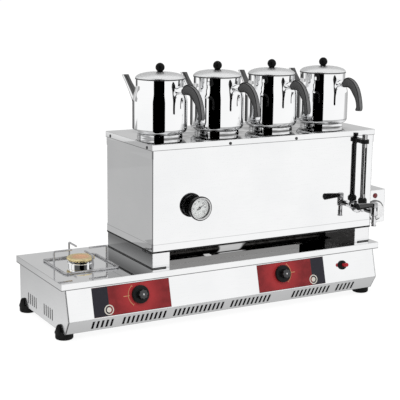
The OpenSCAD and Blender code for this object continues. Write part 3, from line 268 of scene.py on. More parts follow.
def plastic(name, colour, rough, grain=900.0, depth=0.00002, shine=0.22, **values):
    """Moulded plastic or rubber: a fine grain, and slight wear in its gloss."""
    look = Look(name, colour, roughness=rough, Specular_IOR_Level=shine, **values)
    fine = look.noise(grain, 2.0)
    worn = look.noise(60.0, 3.0)
    light = tuple(min(1.0, c * 1.35 + 0.004) for c in colour)
    look.tint(look.ranged(worn, 0.4, 0.75), light)
    look.rough(worn, rough * 0.85, rough * 1.2)
    look.bump(fine, depth)
    return look


def cast(name, colour, rough, metallic=1.0, stain=None, grain=400.0, depth=0.00003):
    """Cast, drawn or plated metal with a stain and a fine surface."""
    look = Look(name, colour, metallic=metallic, roughness=rough)
    cloud = look.noise(45.0, 4.0)
    look.tint(look.ranged(cloud, 0.42, 0.72), stain or tuple(c * 0.8 for c in colour))
    look.rough(cloud, rough * 0.8, rough * 1.4)
    look.bump(look.noise(grain, 2.0), depth)
    return look


def dress(look, *names):
    for name in names:
        mesh = NODES[name].data
        mesh.materials.clear()
        mesh.materials.append(look.mat)


def pot_nodes(part):
    return [f"pot_{n}_{part}" for n in range(1, 5)]


POTS = [bench(POT_1_X + POT_PITCH * i, POT_Y, POT_FOOT_Z) for i in range(4)]

# The first colour is the dark painted as shade on inner faces
INSIDE_SHADE = (0.035, 0.033, 0.032)
LINE = (0.06, 0.06, 0.062)
BLACK = (0.02, 0.02, 0.02)
# How far from an edge the dark line along it reaches, in metres
EDGE = 0.003


def shade_rows(look, amount, *levels, base=ORIGIN):
    """Painted shade lines round a sheet at heights over a base, where folds, grooves and gaps show dark:
    (lower end, upper end) in millimetres.
    """
    height = look.along(UP, base)
    for a, b in levels:
        look.tint(look.between(height, a * MM, b * MM, 0.0003), LINE, amount)


# Tank, cover and housing
tank_sheet = steel("tank_steel", 0.93, 0.04, grain=(30, 30, 700), warp=0.00012)
# Faces that look down are painted darker, a painted shade under the tank. Then painted shade lines along the
# edges, low round the tank and down each front corner
tank_sheet.tint(tank_sheet.faces(DOWN), (0.3, 0.29, 0.28), 0.9)
tank_sheet.edges(EDGE, LINE, 0.85)
shade_rows(tank_sheet, 0.35, (215, 216.5))
for corner_x, near, far in ((TANK_X, 0.0024, 0.0036), (TANK_END, 0.0008, 0.002)):
    corner = tank_sheet.radius(bench(corner_x, TANK_Y, 0), (1, 1, 0))
    tank_sheet.tint(tank_sheet.ranged(corner, far, near), LINE, 0.8)
dress(tank_sheet, "tank_shell")

sheet = steel("sheet_steel", 0.93, 0.045, grain=(30, 30, 700), warp=0.00012)
# Painted shade lines along the edges
sheet.edges(EDGE, LINE, 0.6)
dress(sheet, "control_box")

# The front panel has a painted dark line at its left end, the shade in the seam, is painted dark inside as
# shade, and has painted shade lines along its edges
panel_sheet = steel("panel_steel", 0.93, 0.045, grain=(30, 30, 700), warp=0.00012)
panel_sheet.edges(EDGE, LINE, 0.7)
panel_sheet.tint(panel_sheet.ranged(panel_sheet.along(RIGHT, ORIGIN), 0.0135, 0.0125), LINE, 0.9)
panel_sheet.tint(panel_sheet.faces(BACK), INSIDE_SHADE, 0.9)
dress(panel_sheet, "base_front_panel")

# The cover is stained round the teapots
cover_sheet = steel("cover_steel", 0.92, 0.03, grain=(30, 700, 700), warp=0.0001)
stain = cover_sheet.both(
    cover_sheet.faces(UP),
    cover_sheet.between(cover_sheet.along(RIGHT, ORIGIN), 0.325, 0.90, 0.02),
    cover_sheet.between(cover_sheet.along(BACK, ORIGIN), 0.045, 0.27, 0.02),
    cover_sheet.ranged(cover_sheet.noise(30.0, 3.0), 0.35, 0.6))
cover_sheet.tint(stain, (0.22, 0.22, 0.222), 0.85)
# Painted shade lines along the edges and a painted shade line low round the cover
cover_sheet.edges(EDGE, LINE, 0.6)
shade_rows(cover_sheet, 0.6, (460, 462.6))
dress(cover_sheet, "tank_cover")

top_sheet = steel("top_steel", 0.92, 0.035, grain=(30, 700, 700), warp=0.0001)
# Painted shade lines along the edges and under the lip
top_sheet.edges(EDGE, LINE, 0.45)
shade_rows(top_sheet, 0.75, (133, 136.2))
dress(top_sheet, "base_top_plate")

# The other panels are brushed outside, painted dark inside as shade, and have painted shade lines along the
# edges
side_sheet = steel("side_steel", 0.9, 0.16, grain=(700, 25, 700), scratch=0.000004)
side_sheet.edges(EDGE, LINE, 0.7)
side_x = side_sheet.along(RIGHT, bench(BASE_MIDDLE_X, 0, 0))
for inward, value, near, far in ((RIGHT, side_x, -0.3, -0.35), (LEFT, side_x, 0.3, 0.35),
                                 (FRONT, side_sheet.along(BACK, ORIGIN), 0.29, 0.3),
                                 (UP, side_sheet.along(UP, ORIGIN), 0.06, 0.05)):
    side_sheet.tint(side_sheet.both(side_sheet.faces(inward), side_sheet.ranged(value, near, far)), INSIDE_SHADE, 0.9)
dress(side_sheet, "base_left_side", "base_right_side", "base_back_panel", "base_floor_plate")

# The left stand's outside is painted darker upwards, a painted shade under the tank, and the right one's
# inside is painted dark as shade and streaked; all have painted shade lines along the edges
stand_sheet = steel("stand_steel", 0.9, 0.06, grain=(30, 30, 700))
stand_x = stand_sheet.along(RIGHT, bench(TANK_MIDDLE_X, 0, 0))
stand_z = stand_sheet.along(UP, bench(0, 0, PLATE_TOP))
left_outside = stand_sheet.both(stand_sheet.faces(LEFT), stand_sheet.ranged(stand_x, -0.1, -0.2),
                                stand_sheet.ranged(stand_z, 0.004, 0.034, 0.5, 1.0))
stand_sheet.tint(left_outside, (0.15, 0.15, 0.152), 0.85)
right_inside = stand_sheet.both(stand_sheet.faces(LEFT), stand_sheet.ranged(stand_x, 0.1, 0.2))
streaks = stand_sheet.noise(1.0, 3.0, stretch=(60, 25, 500))
stand_sheet.tint(right_inside, INSIDE_SHADE, 0.93)
stand_sheet.tint(stand_sheet.both(right_inside, stand_sheet.ranged(streaks, 0.6, 0.68)), (0.3, 0.3, 0.3), 0.6)
stand_sheet.edges(EDGE, LINE, 0.7)
dress(stand_sheet, "tank_stands")

# Teapots: a painted darker reflection low down, painted shade lines at the foot and along the edges, and
# painted dark reflections on the spout's sides
pot_sheet = steel("pot_steel", 0.96, 0.02, grain=(8, 8, 900))
pot_low_reflection = pot_sheet.both(
    pot_sheet.ranged(pot_sheet.along(UP), 0.024, 0.016, smooth=True),
    pot_sheet.ranged(pot_sheet.noise(1.0, 2.0, stretch=(25, 25, 260)), 0.4, 0.6))
pot_sheet.tint(pot_low_reflection, (0.25, 0.25, 0.252), 0.9)
pot_sheet.edges(0.001, LINE, 0.8)
shade_rows(pot_sheet, 0.7, (9, 11.5), (21.5, 23), base=(0, 0, 0))
on_spout = pot_sheet.ranged(pot_sheet.along(LEFT), 0.0735, 0.0755)
for facing, low, high, dark in (((0.8, -0.3, 0.52), 0.35, 0.55, 0.035),
                                ((-0.8, 0.1, -0.59), 0.35, 0.6, 0.06)):
    pot_sheet.tint(pot_sheet.both(on_spout, pot_sheet.faces(facing, low, high)), (dark, dark, dark), 0.93)
dress(pot_sheet, *pot_nodes("body"))

# Lids: finely turned, with painted shade along the foot of the rim and along the edges
lid_sheet = Look("lid_steel", (0.8, 0.805, 0.81), metallic=1.0, roughness=0.35)
turned = lid_sheet.noise(900.0, 3.0, where=lid_sheet.radius((0, 0, 0), (1, 1, 0)))
lid_sheet.tint(lid_sheet.ranged(turned, 0.4, 0.8), (0.7, 0.705, 0.71), 0.5)
lid_sheet.rough(turned, 0.3, 0.42).bump(turned, 0.000006)
lid_sheet.edges(0.002, LINE, 0.6)
lid_sheet.tint(lid_sheet.ranged(lid_sheet.along(UP), 0.0032, 0.0026), (0.03, 0.03, 0.031), 0.9)
dress(lid_sheet, *pot_nodes("lid"))

# The main burner: sooty, with painted light patches on its top at the left and three glowing patches, a
# painted reflection of light from the gap behind
burnt = cast("burnt_steel", (0.05, 0.048, 0.046), 0.3, stain=(0.02, 0.018, 0.017))
burnt_left = burnt.ranged(burnt.along(RIGHT, bench(BURNER_PALE_X, 0, 0)), 0.05, -0.05)
burnt.tint(burnt.both(burnt.faces(UP), burnt_left, burnt.ranged(burnt.noise(22.0, 3.0), 0.56, 0.5)),
           (0.62, 0.62, 0.6))
wavy = burnt.ranged(burnt.noise(9.0, 2.0), 0.3, 0.7, -0.03, 0.03)
burnt_x = burnt.maths("ADD", burnt.along(RIGHT, ORIGIN), wavy)
burnt_y = burnt.along(BACK, ORIGIN)
patches = [burnt.both(burnt.between(burnt_x, x0, x1, 0.004), burnt.between(burnt_y, y0, y1, 0.003))
           for x0, x1, y0, y1 in ((0.3, 0.46, 0.08, 0.1), (0.5, 0.6, 0.095, 0.13), (0.66, 0.72, 0.08, 0.09))]
light = patches[0]
for patch in patches[1:]:
    light = burnt.maths("MAXIMUM", light, patch)
burnt.glow(burnt.maths("MULTIPLY", light, 0.5))
dress(burnt, "main_burner", "heating_element")

# Side burner and trivet
cup = steel("cup_steel", 0.95, 0.03, grain=(8, 8, 700))
# A painted dark reflection down the side that faces front left
cup.tint(cup.faces((-0.39, -0.92, 0), 0.86, 0.9), BLACK, 0.93)
dress(cup, "side_burner_cup")
cap = cast("burner_alloy", (0.83, 0.7, 0.38), 0.34, metallic=0.75, stain=(0.74, 0.58, 0.3))
cap_r = cap.radius(bench(*SIDE_BURNER, 0), (1, 1, 0))
cap.tint(cap.ranged(cap_r, 0.026, 0.02, smooth=True), (0.9, 0.5, 0.29), 0.85)
cap.bump(cap.noise(1400.0, 1.0, where=cap_r), 0.00003)
dress(cap, "side_burner_cap")
dress(cast("trivet_wire", (0.52, 0.52, 0.53), 0.3, stain=(0.3, 0.3, 0.31), grain=900.0), "pan_trivet")

# Fittings
dress(cast("plated_metal", (0.55, 0.55, 0.56), 0.1, stain=(0.2, 0.2, 0.2), depth=0.000008), "tap_plug")
dress(cast("screw_steel", (0.09, 0.09, 0.092), 0.3, stain=(0.04, 0.04, 0.04)), "panel_screws")
chrome = cast("tap_chrome", (0.8, 0.8, 0.81), 0.07, stain=(0.55, 0.55, 0.56), depth=0.000008)
# Dark bands and black edges are painted reflections
reflection_bands = chrome.ranged(chrome.noise(70.0, 1.0, stretch=(1.6, 1, 0.7)), 0.5, 0.54)
chrome.tint(reflection_bands, (0.03, 0.03, 0.03), 0.85)
chrome.edges(0.0025, BLACK, 0.95)
dress(chrome, "tap_body")
guard = cast("guard_steel", (0.3, 0.3, 0.302), 0.2, stain=(0.16, 0.16, 0.16), depth=0.000008)
# A painted highlight down the front of each tube, and painted shade where the tubes turn away
guard.tint(guard.faces((-0.35, -0.93, 0), 0.9, 0.97), (0.62, 0.62, 0.62), 0.85)
guard.tint(guard.faces((-0.45, -0.89, 0), 0.5, 0.25), BLACK, 0.93)
dress(guard, "gauge_guard")
dress(cast("brass", (0.78, 0.57, 0.27), 0.25, stain=(0.6, 0.4, 0.18)),
      "left_valve_spindle", "right_valve_spindle", "left_gas_valve", "right_gas_valve", "tap_back_nut")
dress(cast("copper_pipe", (0.8, 0.45, 0.32), 0.3, stain=(0.5, 0.26, 0.18)),
      "gas_manifold", "burner_feed_pipes")

BAND_TILT = math.atan2(20, 77)
BAND_OUT = Vector((0, -math.cos(BAND_TILT), math.sin(BAND_TILT)))
BAND_UP = Vector((0, math.sin(BAND_TILT), math.cos(BAND_TILT)))
# The middle of the band's height: its place in depth and its height
BAND_Y, BAND_Z = -8.15, 95.5
# The knobs' middles, up the band from there
KNOB_RISE = 6
# The knobs' faces and feet, above the labels
KNOB_TOP, KNOB_GAP = 28, 4
KNOB_XS = (209, 641)


def on_band(x, rise=0.0, out=0.0):
    """Frame on the sloping band: X along it, Y up it, Z straight out of it."""
    turn = Matrix((Vector((1, 0, 0)), BAND_UP, BAND_OUT)).transposed().to_4x4()
    middle = bench(x, BAND_Y, BAND_Z) + (BAND_UP * rise + BAND_OUT * out) * MM
    return Matrix.Translation(middle) @ turn


# Plastics. A grip is painted darker in front and black along that front's edge and where it turns away, a
# painted shade
knob = plastic("knob_plastic", (0.008, 0.008, 0.008), 0.3, shine=0.14)
knob.tint(knob.ranged(knob.along(UP), 0.0222, 0.023, smooth=True), (0.07, 0.07, 0.072))
dress(knob, "left_burner_knob", "right_burner_knob")
dress(plastic("black_plastic", (0.008, 0.008, 0.008), 0.35, shine=0.1),
      "igniter_body", "cable_gland", "gauge_nut", "gauge_clamp")
grip = plastic("grip_plastic", (0.17, 0.17, 0.172), 0.45, grain=500.0, shine=0.05)
grip.tint(grip.faces(FRONT, 0.8, 0.86), (0.085, 0.085, 0.086))
grip.tint(grip.between(grip.faces(FRONT, 0, 1), 0.66, 0.82, 0.03), (0.006, 0.006, 0.006), 0.95)
grip.tint(grip.faces((0.69, -0.72, 0), 0.62, 0.4), (0.006, 0.006, 0.006), 0.95)
dress(grip, "tap_grip", *pot_nodes("handle"))
ball = plastic("ball_plastic", (0.004, 0.004, 0.004), 0.14, depth=0.000004, shine=0.08)
dress(ball, *pot_nodes("lid_knob"))
rubber = plastic("foot_rubber", (0.008, 0.008, 0.008), 0.55, grain=350.0, depth=0.00008, shine=0.12)
dress(rubber, "corner_feet")
red = plastic("red_button", (0.5, 0.02, 0.03), 0.25)
dress(red, "igniter_button")
dress(plastic("lamp_lens", (0.16, 0.015, 0.02), 0.15, Coat_Weight=0.5), "pilot_lamp")
dress(plastic("cream_plastic", (0.68, 0.65, 0.56), 0.45), "thermostat")

# Thermometer: a dark case with a white ring round the glass
case = plastic("case_paint", (0.012, 0.012, 0.012), 0.25, grain=250.0, depth=0.00003)
case_r = case.radius(bench(DIAL_X, 0, DIAL_Z), (1, 0, 1))
case_ring = case.both(case.faces(FRONT), case.ranged(case_r, 0.0294, 0.0288),
                      case.ranged(case_r, 0.0255, 0.026))
case.tint(case_ring, (0.85, 0.85, 0.85))
dress(case, "thermometer_case")
dress(plastic("needle_paint", (0.01, 0.01, 0.01), 0.5), "thermometer_needle")
face_look = plastic("dial_face", (0.92, 0.92, 0.91), 0.4, grain=1500.0, depth=0.000004)
# The dial face glows faintly, a painted light
face_look.glow(0.3)
dress(face_look, "thermometer_dial")

# Thermostat knob: white with a black rim, a faint painted glow and painted shade lines along its edges
pale_knob = plastic("pale_knob", (0.9, 0.9, 0.91), 0.25, depth=0.00001)
pale_knob.glow(0.12)
knob_low, knob_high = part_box("thermostat_knob")
knob_reach = (knob_high.z - knob_low.z) / 2
knob_r = pale_knob.radius((knob_low + knob_high) / 2, (1, 0, 1))
pale_knob.tint(pale_knob.ranged(knob_r, knob_reach * 0.84, knob_reach * 0.88), (0.012, 0.012, 0.012), 0.97)
pale_knob.edges(0.0015, BLACK, 0.4)
dress(pale_knob, "thermostat_knob")

clear = Look("clear_glass", (0.97, 0.985, 0.98), roughness=0.02, Transmission_Weight=1.0, IOR=1.47)
clear.rough(clear.noise(40.0, 2.0), 0.01, 0.04)
dress(clear, "thermometer_glass", "gauge_glass")

# The labels: a red film with a lighter glow round each knob, dark end strips and a dark rim
LABEL_W, LABEL_H = 217, 75
LABEL_XS = (80, 565)
STRIP_W, RIM_W = 43, 1.2
label = plastic("label_film", (0.215, 0.017, 0.02), 0.36, grain=1200.0, depth=0.000006)
for x in KNOB_XS:
    from_knob = label.radius(on_band(x, KNOB_RISE).translation)
    label.tint(label.ranged(from_knob, 0.075, 0.02, smooth=True), (0.54, 0.045, 0.05), 0.85)
label_x = label.along(RIGHT, ORIGIN)
for start in (LABEL_XS[0], LABEL_XS[1] + LABEL_W - STRIP_W):
    inside = label.both(label.maths("GREATER_THAN", label_x, start * MM),
                        label.maths("LESS_THAN", label_x, (start + STRIP_W) * MM))
    label.tint(inside, (0.022, 0.021, 0.03))
label_up = label.along(BAND_UP, on_band(0).translation)
edge = label.maths("GREATER_THAN", label.maths("ABSOLUTE", label_up, 0.0), (LABEL_H / 2 - RIM_W) * MM)
label.tint(edge, (0.09, 0.025, 0.03), 0.8)
dress(label, "control_labels")

# Sheet stays flat and bends turn smoothly
for obj in NODES.values():
    normals = obj.data.attributes.get("custom_normal")
    if normals:
        obj.data.attributes.remove(normals)
    obj.data.shade_smooth()
    weld = obj.modifiers.new("weld", "WELD")
    weld.merge_threshold = 0.00001
    creases = obj.modifiers.new("creases", "EDGE_SPLIT")
    creases.split_angle = math.radians(30)
    flats = obj.modifiers.new("flats", "WEIGHTED_NORMAL")
    flats.mode, flats.weight = "FACE_AREA", 100


# Printed marks and small pieces

class Print:
    """Thin flat shapes in one plane, joined into one closed-sided mesh piece."""

    def __init__(self, name, place, thick=0.12):
        self.name, self.place, self.thick = name, place, thick
        self.mesh = bmesh.new()

    def shape(self, points):
        self.mesh.faces.new([self.mesh.verts.new((x * MM, y * MM, 0)) for x, y in points])

    def bar(self, a, b, width):
        a, b = Vector(a), Vector(b)
        side = (b - a).orthogonal().normalized() * width / 2
        self.shape([a - side, b - side, b + side, a + side])

    def ring(self, centre, r0, r1, a0=0.0, a1=360.0, steps=64):
        """Arc of a ring, or a disc where the inner radius is zero."""
        angles = [math.radians(a0 + (a1 - a0) * i / steps) for i in range(steps + 1)]
        at = [(math.cos(a), math.sin(a)) for a in angles]
        if r0 == 0:
            self.shape([(centre[0] + r1 * c, centre[1] + r1 * s) for c, s in at[:-1]])
            return
        for (c0, s0), (c1, s1) in zip(at, at[1:]):
            self.shape([(centre[0] + r * c, centre[1] + r * s) for r, c, s in
                        ((r0, c0, s0), (r1, c0, s0), (r1, c1, s1), (r0, c1, s1))])

    def number(self, text, centre, size):
        curve = bpy.data.curves.new(self.name + "_" + text, "FONT")
        curve.body, curve.size = text, size * MM
        curve.align_x, curve.align_y = "CENTER", "CENTER"
        holder = add_object("number", curve)
        bpy.context.view_layer.update()
        flat = holder.evaluated_get(bpy.context.evaluated_depsgraph_get()).to_mesh()
        start = len(self.mesh.verts)
        self.mesh.from_mesh(flat)
        self.mesh.verts.ensure_lookup_table()
        for v in self.mesh.verts[start:]:
            v.co += Vector((centre[0] * MM, centre[1] * MM, 0))
        holder.to_mesh_clear()
        bpy.data.objects.remove(holder)
        bpy.data.curves.remove(curve)

    def done(self, look, body):
        bmesh.ops.remove_doubles(self.mesh, verts=self.mesh.verts, dist=0.000001)
        bmesh.ops.recalc_face_normals(self.mesh, faces=self.mesh.faces)
        for f in self.mesh.faces:
            if f.normal.z < 0:
                f.normal_flip()
        made = bmesh.ops.extrude_face_region(self.mesh, geom=list(self.mesh.faces))
        top = [g for g in made["geom"] if isinstance(g, bmesh.types.BMVert)]
        bmesh.ops.translate(self.mesh, verts=top, vec=(0, 0, self.thick * MM))
        obj = loose(self.name, self.mesh)
        obj.data.materials.append(look.mat)
        obj.matrix_world = self.place
        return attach(obj, body)


def ink(name, colour):
    look = Look(name, colour, roughness=0.45)
    return look.tint(look.ranged(look.noise(500.0, 2.0), 0.45, 0.75), tuple(c * 0.86 for c in colour))


gold_ink = ink("gold_ink", (0.72, 0.42, 0.2))
pale_ink = ink("pale_ink", (0.78, 0.74, 0.66))
dark_ink = ink("dark_ink", (0.03, 0.03, 0.035))
white_ink = ink("white_ink", (0.85, 0.85, 0.85))

LABEL_T = 0.6
# Half the angle of the scale beside a knob, in degrees
SCALE_HALF = 52
# Each label's knob, the side of its scale and the middle of its roundel
for name, knob_x, side, roundel in (("left", KNOB_XS[0], -1, (122, -22)),
                                    ("right", KNOB_XS[1], 1, (743, -22))):
    scale = Print(f"{name}_scale", on_band(knob_x, KNOB_RISE, LABEL_T))
    middle = 180 if side < 0 else 0
    scale.ring((0, 0), 30, 31.2, middle - SCALE_HALF, middle + SCALE_HALF, 40)
    scale.bar((side * 27, 0), (side * 44, 0), 1.4)
    for a in (-SCALE_HALF, SCALE_HALF):
        c, s = math.cos(math.radians(middle + a)), math.sin(math.radians(middle + a))
        scale.bar((28 * c, 28 * s), (33 * c, 33 * s), 1.2)
    scale.done(gold_ink, "boiler")
    ring = Print(f"{name}_roundel", on_band(roundel[0], roundel[1], LABEL_T))
    ring.ring((0, 0), 10.2, 13)
    ring.ring((0, 0), 0, 6.5)
    ring.done(pale_ink, "boiler")

DIAL_START, DIAL_SPAN, DIAL_STEPS = 227, 270, 12
TICK_END, NUMBER_R = 25, 17
dial_middle = bench(DIAL_X, TANK_Y - DIAL_OUT, DIAL_Z)
marks = Print("dial_marks", Matrix.Translation(dial_middle) @ Matrix.Rotation(math.radians(90), 4, "X"), 0.15)
for i in range(DIAL_STEPS * 2 + 1):
    a = math.radians(DIAL_START - DIAL_SPAN * i / (DIAL_STEPS * 2))
    c, s = math.cos(a), math.sin(a)
    start, width = (21, 1.1) if i % 2 == 0 else (22.6, 0.6)
    marks.bar((start * c, start * s), (TICK_END * c, TICK_END * s), width)
for i in range(0, DIAL_STEPS + 1, 2):
    a = math.radians(DIAL_START - DIAL_SPAN * i / DIAL_STEPS)
    marks.number(str(i * 10), (NUMBER_R * math.cos(a), NUMBER_R * math.sin(a)), 5.2)
marks.done(dark_ink, "boiler")

for name, x in zip(("left", "right"), KNOB_XS):
    dot = Print(f"{name}_knob_mark", on_band(x, KNOB_RISE, LABEL_T + KNOB_TOP), 0.15)
    dot.shape([(0, -3.2), (1.9, 0), (0, 3.2), (-1.9, 0)])
    dot.done(white_ink, f"{name}_knob")

# Dark strips along the foot of the tank and under the stands, standing in for the shade in the gaps there
STAND_W = 40
SHADE_STRIP = plastic("shade_strip_black", (0.008, 0.008, 0.008), 0.5, grain=300.0)


def strip(name, a, b, z, tall, out):
    """A thin strip along a wall, from one place on the bench to the other, standing out to one side."""
    a, b = Vector((*a, 0)), Vector((*b, 0))
    side = (b - a).cross(Vector((0, 0, 1))).normalized() * out
    mesh = bmesh.new()
    section = ((-0.4, 0), (1, 0.2), (1, 0.8), (-0.4, 1))
    ends = [[mesh.verts.new(bench(*(p + side * k).xy, z + tall * t)) for k, t in section] for p in (a, b)]
    for i in range(4):
        j = (i + 1) % 4
        mesh.faces.new((ends[0][i], ends[0][j], ends[1][j], ends[1][i]))
    for end in ends:
        mesh.faces.new(end)
    obj = loose(name, mesh)
    obj.data.materials.append(SHADE_STRIP.mat)
    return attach(obj, "boiler")


SHADE_STRIP_OUT = 0.7
for z, tall, inset, name in ((TANK_FOOT - 0.8, 5, 0, "tank"), (PLATE_TOP + 0.05, 3.4, 1.5, "stand")):
    x0, x1, y0, y1 = TANK_X + inset, TANK_END - inset, TANK_Y + inset, TANK_BACK - inset
    strip(f"{name}_seal_left", (x0, y1), (x0, y0), z, tall, SHADE_STRIP_OUT)
    strip(f"{name}_seal_right", (x1, y0), (x1, y1), z, tall, SHADE_STRIP_OUT)
    if inset:
        strip("stand_shade_strip_front_left", (x0, y0), (x0 + STAND_W, y0), z, tall, SHADE_STRIP_OUT)
        strip("stand_shade_strip_front_right", (x1 - STAND_W, y0), (x1, y0), z, tall, SHADE_STRIP_OUT)
    else:
        strip("tank_shade_strip_front", (x0, y0), (x1, y0), z, tall, SHADE_STRIP_OUT)


# Turned and lofted pieces, drawn in millimetres

def turns(steps):
    """Cosine and sine of each step round a circle."""
    return [(math.cos(math.tau * i / steps), math.sin(math.tau * i / steps)) for i in range(steps)]


def circle(r, z, steps=96):
    return [(r * c, r * s, z) for c, s in turns(steps)]


def arc(cx, cz, r, a0, a1, steps):
    return [(cx + r * math.cos(math.radians(a0 + (a1 - a0) * i / steps)),
             cz + r * math.sin(math.radians(a0 + (a1 - a0) * i / steps))) for i in range(steps + 1)]


def skin(mesh, rings):
    """Closed skin over rings of points."""
    loops = [[mesh.verts.new(Vector(point) * MM) for point in ring] for ring in rings]
    n = len(loops[0])
    for low, high in zip(loops, loops[1:]):
        for i in range(n):
            mesh.faces.new((low[i], low[(i + 1) % n], high[(i + 1) % n], high[i]))
    mesh.faces.new(loops[0])
    mesh.faces.new(loops[-1])
    return mesh


def lathe(outline, steps=96):
    """Solid turned round Z from an outline of radius and height."""
    return skin(bmesh.new(), [circle(max(r, 0.02), z, steps) for r, z in outline])


def smooth(sections, per):
    """Cubic run through sections, lists of numbers, with so many steps between each two."""
    out, last = [], len(sections) - 1
    for i in range(last):
        a, b, c, d = (sections[min(max(j, 0), last)] for j in range(i - 1, i + 3))
        for k in range(per):
            t = k / per
            out.append([q + t / 2 * (r - o + t * (2 * o - 5 * q + 4 * r - u + t * (3 * (q - r) + u - o)))
                        for o, q, r, u in zip(a, b, c, d)])
    return out + [list(sections[-1])]


def loft(sections, mirror=1, per=6, sides=32):
    """Oval sections along a bent line: reach, height, half depth, half width, lean."""
    rings = []
    for x, z, depth, width, lean in smooth(sections, per):
        c, s = math.cos(math.radians(lean)), math.sin(math.radians(lean))
        rings.append([(mirror * (x + depth * u * c), width * v, z + depth * u * s) for u, v in turns(sides)])
    return skin(bmesh.new(), rings)


def piece(name, data, look, body, place, stands_for, crease=40):
    """A finished piece on a body, in place of a CAD node."""
    data.materials.clear()
    data.materials.append(look.mat)
    data.shade_smooth()
    data.set_sharp_from_angle(angle=math.radians(crease))
    obj = add_object(name, data)
    obj.matrix_world = place
    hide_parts(stands_for)
    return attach(obj, body)


def cut_and_join(name, base, steps):
    """Joins solids to a solid and cuts others from it, and gives the mesh."""
    solid = loose(name, base)
    tools = []
    for operation, mesh in steps:
        tool = loose(name + "_tool", mesh)
        change = solid.modifiers.new(operation, "BOOLEAN")
        change.operation, change.solver, change.object = operation, "EXACT", tool
        tools.append(tool)
    bpy.context.view_layer.update()
    data = bpy.data.meshes.new_from_object(solid.evaluated_get(bpy.context.evaluated_depsgraph_get()))
    for obj in [solid, *tools]:
        bpy.data.objects.remove(obj)
    return data


def data_of(name, mesh):
    obj = loose(name, mesh)
    data = obj.data
    bpy.data.objects.remove(obj)
    return data


# Teapots
POT_R, POT_NECK_R, POT_FOOT_R, POT_H, POT_WALL = 73, 64, 61, 152, 1.4
POT_TURNS = (-71, -74, -81, -81)
FERRULE_Z = 126
SHOULDER_Z, SHOULDER_H, SHOULDER_IN, FOOT_BEND = 92.7, 44.1, 4.5, 13


def pot_side(inset):
    """Half outline of a teapot from its foot ring to its rim, drawn in by a wall."""
    low = [(POT_FOOT_R - inset, inset), (POT_FOOT_R - inset, 9), (POT_FOOT_R - 1 - inset, 10)]
    shoulder = [(POT_R - inset - SHOULDER_IN * (1 - math.cos(math.pi * i / 20)),
                 SHOULDER_Z + SHOULDER_H * i / 20) for i in range(21)]
    bend = arc(POT_R - FOOT_BEND, 23, FOOT_BEND - inset, -80, 0, 10)
    return low + bend + shoulder + [(POT_NECK_R - inset, POT_H)]


SPOUT_REACH, SPOUT_R = 58, 8.5


def spout(inset):
    """The spout's outside, or its bore where it is drawn in by a wall."""
    shares = ((-0.22, 0.37, 3.1, 2.4, 122), (0.05, 0.50, 2.3, 1.9, 128), (0.29, 0.63, 1.6, 1.45, 134),
              (0.55, 0.77, 1.2, 1.15, 142), (0.79, 0.90, 1, 1, 150), (1, 1.02, 1.12, 1.05, 176))
    past = 0.3 if inset else 0
    return loft([(POT_R + reach * SPOUT_REACH, rise * POT_H + (past if reach == 1 else 0),
                  depth * SPOUT_R - inset, width * SPOUT_R - inset, lean)
                 for reach, rise, depth, width, lean in shares], mirror=-1)


def ferrule():
    outline = ((60, 11.6), (66, 11.2), (69, 10), (84.8, 10), (86, 9.2))
    rings = [[(x, r * c, FERRULE_Z + r * s) for c, s in turns(48)] for x, r in outline]
    return skin(bmesh.new(), rings)


POT_FLOOR = 3.4
inner_side = [point for point in pot_side(POT_WALL) if point[1] > POT_FLOOR + 0.1]
inside = [(POT_FOOT_R - POT_WALL, POT_FLOOR)] + inner_side + [(62.6, 154)]
pot_data = cut_and_join("pot", lathe([(56, 2), (56, 0)] + pot_side(0)),
                        (("UNION", spout(0)), ("UNION", ferrule()),
                         ("DIFFERENCE", lathe(inside)), ("DIFFERENCE", spout(POT_WALL))))
# The grip's sections: share of its reach and fall, half depth and half width, and lean
GRIP = ((0, 0, 0.56, 0.47, 90), (0.1, -0.045, 0.7, 0.53, 102), (0.3, -0.07, 0.79, 0.56, 85),
        (0.55, 0.02, 0.78, 0.56, 58), (0.76, 0.24, 0.73, 0.56, 37), (0.93, 0.54, 0.54, 0.52, 16),
        (1, 0.83, 0.5, 0.5, 4), (0.97, 0.95, 0.6, 0.48, 0), (0.96, 1, 0.5, 0.4, 0))
GRIP_START, GRIP_REACH, GRIP_FALL, GRIP_T = 86.3, 61.7, 70, 18
grip_data = data_of("grip", loft([(GRIP_START + reach * GRIP_REACH, FERRULE_Z - fall * GRIP_FALL,
                                   depth * GRIP_T, width * GRIP_T, lean)
                                  for reach, fall, depth, width, lean in GRIP]))


# A power under one makes the lid's dome full
DOME_POWER = 0.68
WELL_R, WELL_FLOOR_R, WELL_DEPTH = 15, 12, 1.8


def dome(r, h, z, steps=20):
    """Outline of a full dome from its rim to the well that the knob stands in."""
    rise = [(max(r * max(math.cos(a), 0) ** DOME_POWER, WELL_R), z + h * math.sin(a))
            for a in (math.pi / 2 * i / steps for i in range(steps + 1))]
    return rise + [(WELL_FLOOR_R, z + h - WELL_DEPTH), (0, z + h - WELL_DEPTH)]


